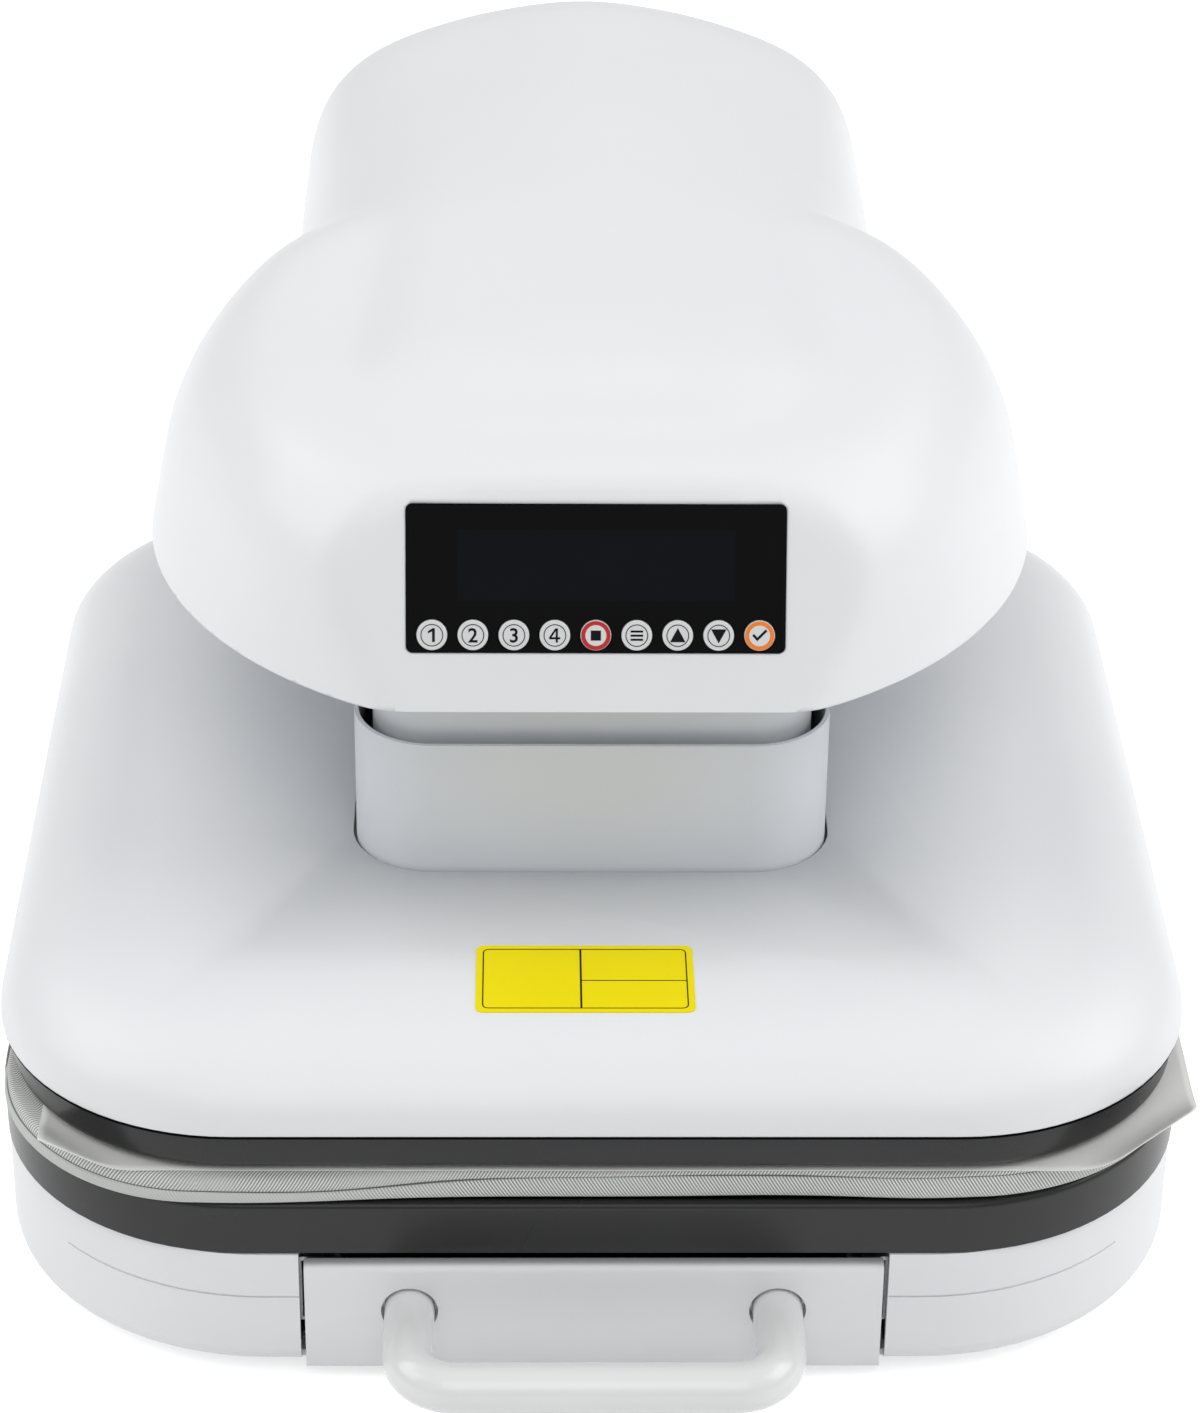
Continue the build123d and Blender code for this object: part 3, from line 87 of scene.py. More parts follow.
# Each lamp's name, place, side and power in watts.
LAMPS = (
    ("front_lamp", (0, -1.9, 2.0), 1.6, 12),
    ("left_lamp", (-2.2, -0.3, 1.7), 1.6, 19),
    ("right_lamp", (2.2, -0.3, 1.7), 1.6, 26),
    ("left_back_lamp", (-1.8, 0.9, 2.4), 1.2, 12),
    ("right_back_lamp", (1.8, 0.9, 2.4), 1.2, 9),
)


def worked(tree, operation, first, second=None, number=0.0):
    """The result of a Math node on one value and another value or a number."""
    node = tree.nodes.new("ShaderNodeMath")
    node.operation = operation
    node.inputs[1].default_value = number
    tree.links.new(first, node.inputs[0])
    if second is not None:
        tree.links.new(second, node.inputs[1])
    return node.outputs[0]


def seen_straight(tree):
    """1 for camera, glossy and transmission rays, 0 for rays that carry light."""
    path = tree.nodes.new("ShaderNodeLightPath")
    rays = worked(tree, "MAXIMUM", path.outputs["Is Camera Ray"], path.outputs["Is Glossy Ray"])
    return worked(tree, "MAXIMUM", rays, path.outputs["Is Transmission Ray"])


def plain_shader(name):
    """A new material and its one Principled shader."""
    material = bpy.data.materials.new(name)
    material.use_nodes = True
    return material, material.node_tree, material.node_tree.nodes["Principled BSDF"]


def floor_paint():
    material, tree, shader = plain_shader("studio_floor")
    shader.inputs["Base Color"].default_value = FLOOR_COLOUR
    shader.inputs["Roughness"].default_value = 0.9
    shader.inputs["Specular IOR Level"].default_value = 0.1
    shader.inputs["Emission Color"].default_value = (1, 1, 1, 1)
    glow = worked(tree, "MULTIPLY", seen_straight(tree), number=FLOOR_GLOW)
    tree.links.new(glow, shader.inputs["Emission Strength"])
    return material


def studio_floor():
    mesh = bpy.data.meshes.new("studio_floor")
    bm = bmesh.new()
    bmesh.ops.create_grid(bm, x_segments=1, y_segments=1, size=FLOOR_SIDE / 2)
    bm.to_mesh(mesh)
    bm.free()
    mesh.materials.append(floor_paint())
    floor = bpy.data.objects.new("studio_floor", mesh)
    bpy.context.scene.collection.objects.link(floor)


def soft_lamp(name, place, side, power):
    data = bpy.data.lights.new(name, "AREA")
    data.shape = "SQUARE"
    data.size = side
    data.energy = power
    lamp = bpy.data.objects.new(name, data)
    aim = (Vector(LAMP_TARGET) - Vector(place)).to_track_quat("-Z", "Y")
    lamp.matrix_world = Matrix.Translation(place) @ aim.to_matrix().to_4x4()
    bpy.context.scene.collection.objects.link(lamp)


def studio_world():
    world = bpy.data.worlds.new("studio_world")
    world.use_nodes = True
    tree = world.node_tree
    background = tree.nodes["Background"]
    background.inputs["Color"].default_value = WORLD_COLOUR
    strength = tree.nodes.new("ShaderNodeMapRange")
    strength.inputs["To Min"].default_value = WORLD_LIGHT
    strength.inputs["To Max"].default_value = 1.0
    path = tree.nodes.new("ShaderNodeLightPath")
    tree.links.new(path.outputs["Is Camera Ray"], strength.inputs["Value"])
    tree.links.new(strength.outputs["Result"], background.inputs["Strength"])
    bpy.context.scene.world = world


studio_floor()
studio_world()
for lamp_row in LAMPS:
    soft_lamp(*lamp_row)

# The white base is moulded in one piece of ABS with a fine spark grain. Every outside shell of the
# press is the same plastic, so they share this finish: a faint grain, and a slow and slight
# unevenness of tone and gloss.
SHELL_WHITE = (0.79, 0.80, 0.815, 1)
SHELL_SHADE = (0.765, 0.778, 0.795, 1)
SHELL_ROUGH = 0.40
GRAIN_SCALE = 1400.0
GRAIN_DEPTH = 0.00003
PATCH_SCALE = 9.0
GLOSS_SPREAD = 0.035
MASK_LOW = 0.3
MASK_HIGH = 0.7


def new_group(name, values, results):
    """An empty shader group with float inputs (name: start value) and the outputs in results."""
    group = bpy.data.node_groups.new(name, "ShaderNodeTree")
    for label, start in values.items():
        socket = group.interface.new_socket(label, in_out="INPUT", socket_type="NodeSocketFloat")
        socket.default_value = start
    for label in results:
        group.interface.new_socket(label, in_out="OUTPUT", socket_type="NodeSocketFloat")
    start = group.nodes.new("NodeGroupInput")
    end = group.nodes.new("NodeGroupOutput")
    return group, start, end


def noise_in(tree, coordinates, scale, detail=3.0):
    texture = tree.nodes.new("ShaderNodeTexNoise")
    texture.inputs["Detail"].default_value = detail
    if isinstance(scale, bpy.types.NodeSocket):
        tree.links.new(scale, texture.inputs["Scale"])
    else:
        texture.inputs["Scale"].default_value = scale
    tree.links.new(coordinates, texture.inputs["Vector"])
    return texture.outputs["Fac"]


def grain_group():
    """Fine moulding grain as a height, and a slow unevenness as a mask."""
    scales = {"Grain Scale": GRAIN_SCALE, "Patch Scale": PATCH_SCALE}
    group, start, end = new_group("moulding grain", scales, ("Height", "Patches"))
    place = group.nodes.new("ShaderNodeTexCoord")
    where = place.outputs["Object"]
    group.links.new(noise_in(group, where, start.outputs["Grain Scale"], 2.0), end.inputs["Height"])
    patches = noise_in(group, where, start.outputs["Patch Scale"], 4.0)
    group.links.new(patches, end.inputs["Patches"])
    return group


GRAIN = grain_group()


def place_group(tree, group, **values):
    node = tree.nodes.new("ShaderNodeGroup")
    node.node_tree = group
    for label, value in values.items():
        node.inputs[label.replace("_", " ").title()].default_value = value
    return node


def between(tree, mask, low, high, socket):
    """Feeds a number from low to high into a socket as the mask climbs."""
    spread = tree.nodes.new("ShaderNodeMapRange")
    spread.inputs["From Min"].default_value = MASK_LOW
    spread.inputs["From Max"].default_value = MASK_HIGH
    spread.inputs["To Min"].default_value = low
    spread.inputs["To Max"].default_value = high
    tree.links.new(mask, spread.inputs["Value"])
    tree.links.new(spread.outputs["Result"], socket)


def two_tone(tree, mask, first, second, socket):
    """Feeds a colour from first to second into a socket as the mask climbs."""
    ramp = tree.nodes.new("ShaderNodeValToRGB")
    ramp.color_ramp.elements[0].position = MASK_LOW
    ramp.color_ramp.elements[0].color = first
    ramp.color_ramp.elements[1].position = MASK_HIGH
    ramp.color_ramp.elements[1].color = second
    tree.links.new(mask, ramp.inputs["Fac"])
    tree.links.new(ramp.outputs["Color"], socket)


def bump(tree, height, shader, distance, strength):
    node = tree.nodes.new("ShaderNodeBump")
    node.inputs["Strength"].default_value = strength
    node.inputs["Distance"].default_value = distance
    tree.links.new(height, node.inputs["Height"])
    tree.links.new(node.outputs["Normal"], shader.inputs["Normal"])


def moulded(name, colour, shade, rough, grain_scale=GRAIN_SCALE, grain_depth=GRAIN_DEPTH, strength=0.25,
            reflection=0.5):
    """Moulded or painted surface: two close tones, uneven gloss and a fine grain."""
    material, tree, shader = plain_shader(name)
    shader.inputs["Specular IOR Level"].default_value = reflection
    grain = place_group(tree, GRAIN, grain_scale=grain_scale)
    two_tone(tree, grain.outputs["Patches"], colour, shade, shader.inputs["Base Color"])
    between(tree, grain.outputs["Patches"], rough - GLOSS_SPREAD, rough + GLOSS_SPREAD,
            shader.inputs["Roughness"])
    bump(tree, grain.outputs["Height"], shader, grain_depth, strength)
    return material


def wear(material, *names):
    """Gives CAD nodes a finish."""
    for name in names:
        mesh = nodes[name].data
        mesh.materials.clear()
        mesh.materials.append(material)


SHELL_PLASTIC = moulded("white_shell_plastic", SHELL_WHITE, SHELL_SHADE, SHELL_ROUGH)
wear(SHELL_PLASTIC, "base_housing", "column_front_cover", "column_rear_cover", "head_floor")

# The feet are moulded from black rubber and stuck under the zinc-plated steel bottom plate, which
# is pressed from sheet. The frame, the bridge plate, the drawer's sled and its slides are cut and
# folded from the same plated sheet, with the faint streaks of the rolling mill.
ZINC = (0.56, 0.57, 0.58, 1)
ZINC_SHADE = (0.44, 0.45, 0.47, 1)
STREAK_STRETCH = (900.0, 14.0, 900.0)
STREAK_SPREAD = 0.07
STREAK_DEPTH = 0.00002


def brushed(name, colour, shade, rough, stretch=STREAK_STRETCH):
    """Bare metal with streaks, along Y unless the stretch says otherwise."""
    material, tree, shader = plain_shader(name)
    shader.inputs["Metallic"].default_value = 1.0
    place = tree.nodes.new("ShaderNodeTexCoord")
    turn = tree.nodes.new("ShaderNodeMapping")
    turn.inputs["Scale"].default_value = stretch
    tree.links.new(place.outputs["Object"], turn.inputs["Vector"])
    streaks = noise_in(tree, turn.outputs["Vector"], 1.0, 2.0)
    two_tone(tree, streaks, colour, shade, shader.inputs["Base Color"])
    between(tree, streaks, rough - STREAK_SPREAD, rough + STREAK_SPREAD, shader.inputs["Roughness"])
    bump(tree, streaks, shader, STREAK_DEPTH, 0.2)
    return material


RUBBER = moulded("black_foot_rubber", (0.02, 0.02, 0.02, 1), (0.03, 0.03, 0.032, 1), 0.75, 900.0,
                 0.00008, 0.4)
PLATED_STEEL = brushed("zinc_plated_sheet", ZINC, ZINC_SHADE, 0.38)
wear(RUBBER, "feet")
wear(PLATED_STEEL, "bottom_plate", "frame_side_left", "frame_side_right", "bridge_plate", "drawer_carriage",
     "rail_outer", "rail_middle", "rail_inner", "lift_plate", "handle_screws", "frame_screws")

# The drive is turned and ground steel: four guide rods in bushings, a lead screw in a bearing and
# a bronze nut. Two aluminium pulleys and a rubber belt join the screw to the gear motor's can.
BRIGHT_STEEL = brushed("ground_steel", (0.66, 0.66, 0.67, 1), (0.58, 0.58, 0.60, 1), 0.18,
                       (300.0, 300.0, 700.0))
BRONZE = brushed("turned_bronze", (0.56, 0.36, 0.14, 1), (0.46, 0.28, 0.10, 1), 0.33, (300.0, 300.0, 900.0))
TURNED_ALUMINIUM = brushed("turned_aluminium", (0.62, 0.63, 0.64, 1), (0.54, 0.55, 0.57, 1), 0.30)
MOTOR_BLACK = moulded("motor_can_enamel", (0.02, 0.02, 0.022, 1), (0.032, 0.032, 0.034, 1), 0.42)
BELT_RUBBER = moulded("belt_rubber", (0.018, 0.018, 0.018, 1), (0.03, 0.03, 0.03, 1), 0.6, 700.0,
                      0.00010, 0.5)
wear(BRIGHT_STEEL, "guide_bushings", "screw_bearing", "guide_rods", "lead_screw", "temperature_probe")
wear(BRONZE, "lift_nut")
wear(TURNED_ALUMINIUM, "screw_pulley", "motor_pulley")
wear(MOTOR_BLACK, "gear_motor", "fan_frame", "fan_rotor")
wear(BELT_RUBBER, "drive_belt")

# The two circuit boards are glass cloth with green lacquer over copper tracks, which show as a
# paler pattern of straight lines.


def circuit_green():
    material, tree, shader = plain_shader("circuit_board_lacquer")
    place = tree.nodes.new("ShaderNodeTexCoord")
    tracks = tree.nodes.new("ShaderNodeTexBrick")
    tracks.inputs["Color1"].default_value = (0.02, 0.12, 0.05, 1)
    tracks.inputs["Color2"].default_value = (0.015, 0.10, 0.04, 1)
    tracks.inputs["Mortar"].default_value = (0.05, 0.22, 0.09, 1)
    tracks.inputs["Scale"].default_value = 220.0
    tracks.inputs["Mortar Size"].default_value = 0.03
    tree.links.new(place.outputs["Object"], tracks.inputs["Vector"])
    tree.links.new(tracks.outputs["Color"], shader.inputs["Base Color"])
    between(tree, tracks.outputs["Fac"], 0.3, 0.42, shader.inputs["Roughness"])
    return material


wear(circuit_green(), "power_board", "control_board")

# The drawer's front is a white moulded panel. Its handle is a bent steel tube in gloss white
# enamel, drawn into two round holes in the panel by screws from behind.
DRAWER_WHITE = moulded("drawer_front_plastic", SHELL_WHITE, SHELL_SHADE, 0.36)
HANDLE_ENAMEL = moulded("handle_enamel", (0.78, 0.78, 0.78, 1), (0.75, 0.75, 0.75, 1), 0.16, 260.0,
                        0.00004, 0.1)
wear(DRAWER_WHITE, "drawer_front")
wear(HANDLE_ENAMEL, "drawer_handle")

# The lower tray and the pan around the hot plate are pressed steel in satin black enamel with a
# slight orange peel.
BLACK_ENAMEL = moulded("satin_black_enamel", (0.016, 0.016, 0.017, 1), (0.022, 0.022, 0.023, 1), 0.27,
                       330.0, 0.00006, 0.18, reflection=0.3)
wear(BLACK_ENAMEL, "lower_tray", "platen_band")

# The hot plate is cast aluminium with a dark non-stick coat; the bed plate under the pad is bare
# rolled aluminium. The heating rod has a heat-tinted steel skin, and the blanket and the standoffs
# above the plate are white ceramic fibre.
COATED_ALUMINIUM = moulded("hot_plate_coat", (0.10, 0.10, 0.105, 1), (0.13, 0.13, 0.135, 1), 0.5, 800.0)
TINTED_STEEL = brushed("heat_tinted_steel", (0.30, 0.24, 0.18, 1), (0.20, 0.18, 0.20, 1), 0.4)
CERAMIC_FIBRE = moulded("ceramic_fibre", (0.78, 0.76, 0.70, 1), (0.70, 0.68, 0.62, 1), 0.95, 420.0,
                        0.0006, 0.8)
wear(COATED_ALUMINIUM, "heat_plate")
wear(TURNED_ALUMINIUM, "bed_plate")
wear(TINTED_STEEL, "heating_element")
wear(CERAMIC_FIBRE, "insulation_blanket", "standoffs")

# The pad is a slab of silicone sponge, closed at the skin. Its side shows only as the dark
# line between the cloth and the tray; its near-black is partly the sponge's own colour and partly painted
# shade for that gap.
SPONGE = moulded("silicone_sponge", (0.012, 0.012, 0.012, 1), (0.018, 0.018, 0.018, 1), 0.85, 900.0, 0.0003,
                 0.6, reflection=0.15)
wear(SPONGE, "foam_pad")

# The sleeve on the platen and the fixed column inside it are folded from steel sheet and powder
# coated a slightly greyer white than the plastic.
POWDER_WHITE = moulded("white_powder_coat", (0.70, 0.72, 0.745, 1), (0.68, 0.70, 0.725, 1), 0.42, 700.0,
                       0.00006, 0.25)
wear(POWDER_WHITE, "sleeve", "inner_column")

# The mains inlet and its rocker switch are moulded in matt black nylon. The rocker tips in the
# inlet's own frame, at the back of the column.
BLACK_NYLON = moulded("black_nylon", (0.022, 0.022, 0.024, 1), (0.03, 0.03, 0.032, 1), 0.5, 1100.0)
wear(BLACK_NYLON, "power_inlet", "power_rocker")

# The panel's lens is black acrylic with faint smears on its face, a touch paler over the display
# behind it, which is dark glass. Nine grey caps stand in holes in the lens.
LENS_TONE = (0.0048, 0.0048, 0.005, 1)
DISPLAY_TONE = (0.0055, 0.0068, 0.0085, 1)
# The display's middle and half its size, across in X and up in Z.
DISPLAY_MIDDLE = (0.0, 0.2578)
DISPLAY_HALVES = (0.0465, 0.0112)


def display_mask(tree):
    """1 on the part of the lens that the display fills, 0 elsewhere."""
    place = tree.nodes.new("ShaderNodeTexCoord")
    split = tree.nodes.new("ShaderNodeSeparateXYZ")
    tree.links.new(place.outputs["Object"], split.inputs["Vector"])
    inside = []
    for axis, middle, half in zip(("X", "Z"), DISPLAY_MIDDLE, DISPLAY_HALVES):
        inside.append(worked(tree, "COMPARE", split.outputs[axis], number=middle))
        inside[-1].node.inputs[2].default_value = half
    return worked(tree, "MULTIPLY", *inside)


def lens_acrylic():
    material, tree, shader = plain_shader("black_acrylic")
    two_tone(tree, display_mask(tree), LENS_TONE, DISPLAY_TONE, shader.inputs["Base Color"])
    smears = place_group(tree, GRAIN, patch_scale=26.0)
    between(tree, smears.outputs["Patches"], 0.16, 0.26, shader.inputs["Roughness"])
    shader.inputs["Specular IOR Level"].default_value = 0.06
    return material


DISPLAY_DARK = moulded("display_glass", (0.006, 0.008, 0.012, 1), (0.008, 0.010, 0.015, 1), 0.3, 60.0,
                       0.00001, 0.05)
BUTTON_GREY = moulded("button_cap", (0.70, 0.71, 0.71, 1), (0.67, 0.68, 0.68, 1), 0.45)
BUTTONS = ("button_one", "button_two", "button_three", "button_four", "button_halt", "button_mode",
           "button_up", "button_down", "button_confirm")
wear(lens_acrylic(), "panel_lens")
wear(DISPLAY_DARK, "display_module")
wear(BUTTON_GREY, *BUTTONS)

# The head's cover is one large white moulding. Its round head and its long neck flow into each
# other, so both are laid out as plain bevelled solids, fused, and relaxed until the joint is a soft
# valley; the shell's thickness and the control panel's window follow after.

# The middle of the platen, at the height of the feet's tops: the head and the cover are set from it.
AXIS_FOOT = Vector((0.0, -0.05775, 0.006))
HEAD_Z = 0.205 + AXIS_FOOT.z
HEAD_RADIUS = 0.160
HEAD_CENTRE_Y = 0.028 + AXIS_FOOT.y
HEAD_FRONT_Y = -0.1146 + AXIS_FOOT.y
HEAD_LEAN = math.radians(20.7)
HEAD_DRAFT = math.radians(4.4)
HEAD_TOP = 0.0755
HEAD_TOP_SLOPE = math.radians(2.06)
NECK_TOP = 0.088
NECK_WIDTH = 0.230
NECK_BACK_Y = 0.372 + AXIS_FOOT.y
NECK_FRONT_Y = -0.082 + AXIS_FOOT.y
SHELL_WALL = 0.003
# How far the plain solids reach below the head's lower edge, and the drum above it, before the cuts.
START_DROP = 0.03
DRUM_SPARE = 0.08
DRUM_SIDES = 120
DRUM_TOP_ROUND = 0.044
FACE_ROUND = 0.009
NECK_SIDE_ROUND = 0.080
NECK_TOP_ROUND = 0.066
FACE_NORMAL = Vector((0.0, -math.cos(HEAD_LEAN), math.sin(HEAD_LEAN)))
FACE_UP = Vector((0.0, math.sin(HEAD_LEAN), math.cos(HEAD_LEAN)))
FACE_FOOT = Vector((0.0, HEAD_FRONT_Y, HEAD_Z))
FACE_TURN = Matrix(((1, 0, 0), FACE_UP, FACE_NORMAL)).transposed().to_4x4()


def keep_inside(bm, place, normal):
    """Cuts a closed solid at a plane, drops the side the normal points to, and closes the cut."""
    geometry = bm.verts[:] + bm.edges[:] + bm.faces[:]
    cut = bmesh.ops.bisect_plane(
        bm, geom=geometry, plane_co=place, plane_no=normal, clear_outer=True
    )
    rim = [item for item in cut["geom_cut"] if isinstance(item, bmesh.types.BMEdge)]
    return bmesh.ops.contextual_create(bm, geom=rim)["faces"]


def round_edges(bm, edges, radius, segments):
    bmesh.ops.bevel(
        bm, geom=edges, offset=radius, segments=segments, profile=0.5, affect="EDGES",
        material=-1, clamp_overlap=True,
    )


def highest_face(bm):
    return max(bm.faces, key=lambda face: face.calc_center_median().z)


def upright_edges(bm, height):
    """The edges that stand more than half as high as the block they are on."""
    return [edge for edge in bm.edges
            if abs(edge.verts[0].co.z - edge.verts[1].co.z) > height / 2]


def head_drum(bm):
    """The round head: a slightly tapering drum with a sloping top and a leaning front face."""
    start = HEAD_Z - START_DROP
    height = HEAD_TOP + DRUM_SPARE
    drum = bmesh.ops.create_cone(
        bm, cap_ends=True, segments=DRUM_SIDES,
        radius1=HEAD_RADIUS + START_DROP * math.tan(HEAD_DRAFT),
        radius2=HEAD_RADIUS + (START_DROP - height) * math.tan(HEAD_DRAFT),
        depth=height,
    )
    bmesh.ops.translate(bm, verts=drum["verts"], vec=(0, HEAD_CENTRE_Y, start + height / 2))
    slope = Vector((0, -math.sin(HEAD_TOP_SLOPE), math.cos(HEAD_TOP_SLOPE)))
    top_place = Vector((0, HEAD_FRONT_Y + HEAD_TOP * math.tan(HEAD_LEAN), HEAD_Z + HEAD_TOP))
    top = keep_inside(bm, top_place, slope)
    round_edges(bm, list(top[0].edges), DRUM_TOP_ROUND, 10)
    face = keep_inside(bm, FACE_FOOT, FACE_NORMAL)
    round_edges(bm, list(face[0].edges), FACE_ROUND, 4)


def neck_block(bm):
    start = HEAD_Z - START_DROP
    neck = bmesh.ops.create_cube(bm, size=1.0)["verts"]
    depth = NECK_BACK_Y - NECK_FRONT_Y
    height = NECK_TOP + START_DROP
    bmesh.ops.scale(bm, verts=neck, vec=(NECK_WIDTH, depth, height))
    bmesh.ops.translate(bm, verts=neck, vec=(0, NECK_FRONT_Y + depth / 2, start + height / 2))
    round_edges(bm, upright_edges(bm, height), NECK_SIDE_ROUND, 12)
    round_edges(bm, list(highest_face(bm).edges), NECK_TOP_ROUND, 12)


def mesh_from(name, *makers):
    """One mesh that holds the solid made by each maker."""
    mesh = bpy.data.meshes.new(name)
    whole = bmesh.new()
    for make in makers:
        bm = bmesh.new()
        make(bm)
        bmesh.ops.recalc_face_normals(bm, faces=bm.faces)
        part = bpy.data.meshes.new(name + "_part")
        bm.to_mesh(part)
        bm.free()
        whole.from_mesh(part)
        bpy.data.meshes.remove(part)
    whole.to_mesh(mesh)
    whole.free()
    return mesh


def new_piece(name, mesh, body, material, smooth=True):
    """Adds a mesh as a piece of the scene that moves with a body of the frame."""
    piece = bpy.data.objects.new(name, mesh)
    bpy.context.scene.collection.objects.link(piece)
    mesh.materials.clear()
    mesh.materials.append(material)
    for face in mesh.polygons:
        face.use_smooth = smooth
        face.material_index = 0
    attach(piece, body)
    return piece


def settle(piece):
    """Applies the live modifiers of a piece to its mesh."""
    seen = bpy.context.evaluated_depsgraph_get()
    old = piece.data
    finished = bpy.data.meshes.new_from_object(piece.evaluated_get(seen))
    piece.modifiers.clear()
    piece.data = finished
    bpy.data.meshes.remove(old)


def fuse(piece, voxel):
    """Makes one even skin of the solids in a piece."""
    remesh = piece.modifiers.new("fuse", "REMESH")
    remesh.mode = "VOXEL"
    remesh.voxel_size = voxel
    remesh.use_smooth_shade = True
    settle(piece)


def relax(piece, rounds):
    """Softens a piece's edges and valleys a little with each round."""
    bm = bmesh.new()
    bm.from_mesh(piece.data)
    for _ in range(rounds):
        bmesh.ops.smooth_vert(bm, verts=bm.verts, factor=0.5, use_axis_x=True, use_axis_y=True,
                              use_axis_z=True)
    bm.to_mesh(piece.data)
    bm.free()


def thicken_inward(piece, wall):
    thick = piece.modifiers.new("wall", "SOLIDIFY")
    thick.thickness = wall
    thick.offset = -1.0
    settle(piece)


def rounded_block(bm, width, depth, height, corner, segments=12):
    """A standing block about the origin with rounded upright edges."""
    verts = bmesh.ops.create_cube(bm, size=1.0)["verts"]
    bmesh.ops.scale(bm, verts=verts, vec=(width, depth, height))
    round_edges(bm, upright_edges(bm, height), corner, segments)


def cut_with(piece, make, place):
    """Takes a solid, made at the origin and set at a place, out of a piece."""
    tool = bpy.data.objects.new("cutter", mesh_from("cutter", make))
    tool.data.transform(place)
    bpy.context.scene.collection.objects.link(tool)
    cut = piece.modifiers.new("cut", "BOOLEAN")
    cut.object = tool
    cut.operation = "DIFFERENCE"
    cut.solver = "EXACT"
    settle(piece)
    mesh = tool.data
    bpy.data.objects.remove(tool)
    bpy.data.meshes.remove(mesh)


def on_panel_face(x, up, out=0.0):
    """Where a thing sits on the leaning face: X across, Y up the face, Z out of it."""
    place = FACE_FOOT + FACE_UP * up + FACE_NORMAL * out + Vector((x, 0, 0))
    return Matrix.Translation(place) @ FACE_TURN


LENS_WIDTH = 0.127
LENS_HEIGHT = 0.050
LENS_MIDDLE = 0.0204 + LENS_HEIGHT / 2
WINDOW_GAP = 0.0003
WINDOW_CORNER = 0.0023
WINDOW_CUT = 0.03
HEAD_VOXEL = 0.003
RELAX_ROUNDS = 14
SIDE_LEAN = 0.0058
SIDE_LEAN_HEIGHT = 0.050
SIDE_LEAN_FROM = 0.104
SIDE_LEAN_FULL = 0.148
CROWN_DROP = 0.0082
CROWN_HALF_WIDTH = 0.068
CROWN_FROM_Y = 0.03
CROWN_FULL_Y = 0.20


def eased(value, start, end):
    """0 up to start, 1 from end on, and a soft climb between them."""
    share = min(1.0, max(0.0, (value - start) / (end - start)))
    return share * share * (3 - 2 * share)


def shape_head(bm):
    """Leans the round sides in towards the top, and crowns the top of the neck towards its back."""
    for vert in bm.verts:
        height = max(0.0, vert.co.z - HEAD_Z)
        side = eased(abs(vert.co.x), SIDE_LEAN_FROM, SIDE_LEAN_FULL)
        lean = SIDE_LEAN * side * min(1.0, height / SIDE_LEAN_HEIGHT)
        wave = math.sin(math.pi / 2 * vert.co.x / CROWN_HALF_WIDTH)
        drop = CROWN_DROP * wave * wave * eased(vert.co.y, CROWN_FROM_Y, CROWN_FULL_Y)
        vert.co.x -= math.copysign(lean, vert.co.x)
        vert.co.z -= drop * height / NECK_TOP


head = new_piece("head_shell_soft", mesh_from("head_shell_soft", head_drum, neck_block), "root",
                 SHELL_PLASTIC)
fuse(head, HEAD_VOXEL)
relax(head, RELAX_ROUNDS)
head_bm = bmesh.new()
head_bm.from_mesh(head.data)
shape_head(head_bm)
bmesh.ops.bisect_plane(head_bm, geom=head_bm.verts[:] + head_bm.edges[:] + head_bm.faces[:],
                       plane_co=(0, 0, HEAD_Z), plane_no=(0, 0, -1), clear_outer=True)
head_bm.to_mesh(head.data)
head_bm.free()
thicken_inward(head, SHELL_WALL)
cut_with(
    head,
    lambda bm: rounded_block(bm, LENS_WIDTH + 2 * WINDOW_GAP, LENS_HEIGHT + 2 * WINDOW_GAP, WINDOW_CUT,
                             WINDOW_CORNER, 5),
    on_panel_face(0, LENS_MIDDLE),
)
for face in head.data.polygons:
    face.use_smooth = True
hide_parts("head_shell")

# The platen's cover is a white moulding like a flat cushion: its rim rolls over in a wide soft
# curve and the sleeve passes through a close square hole. It rises and falls with the platen.
COVER_WIDTH = 0.410
COVER_DEPTH = 0.417
COVER_CORNER = 0.084
COVER_RIM_Z = 0.0976 + AXIS_FOOT.z
COVER_HEIGHT = 0.0244
COVER_ROLL = 0.034
COVER_START_HEIGHT = COVER_ROLL * 1.02
COVER_CORNER_STEPS = 20
SLEEVE_SIDE = 0.168
SLEEVE_CORNER = 0.028
SLEEVE_GAP = 0.0012
SLEEVE_CUT = 0.08


def cover_block(bm):
    """A block as high as its rounding, pressed flatter so that the rim rolls over in an ellipse."""
    rounded_block(bm, COVER_WIDTH, COVER_DEPTH, COVER_START_HEIGHT, COVER_CORNER, COVER_CORNER_STEPS)
    round_edges(bm, list(highest_face(bm).edges), COVER_ROLL, 12)
    bmesh.ops.scale(bm, verts=bm.verts, vec=(1, 1, COVER_HEIGHT / COVER_START_HEIGHT))
    bmesh.ops.translate(bm, verts=bm.verts, vec=(0, AXIS_FOOT.y, COVER_RIM_Z + COVER_HEIGHT / 2))
    under = min(bm.faces, key=lambda face: face.calc_center_median().z)
    bmesh.ops.delete(bm, geom=[under], context="FACES")


cover = new_piece("platen_cover_soft", mesh_from("platen_cover_soft", cover_block), "platen",
                  SHELL_PLASTIC)
thicken_inward(cover, SHELL_WALL)
cut_with(
    cover,
    lambda bm: rounded_block(bm, SLEEVE_SIDE + 2 * SLEEVE_GAP, SLEEVE_SIDE + 2 * SLEEVE_GAP, SLEEVE_CUT,
                             SLEEVE_CORNER + SLEEVE_GAP, 10),
    Matrix.Translation((0, AXIS_FOOT.y, COVER_RIM_Z + COVER_HEIGHT)),
)
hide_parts("platen_cover")
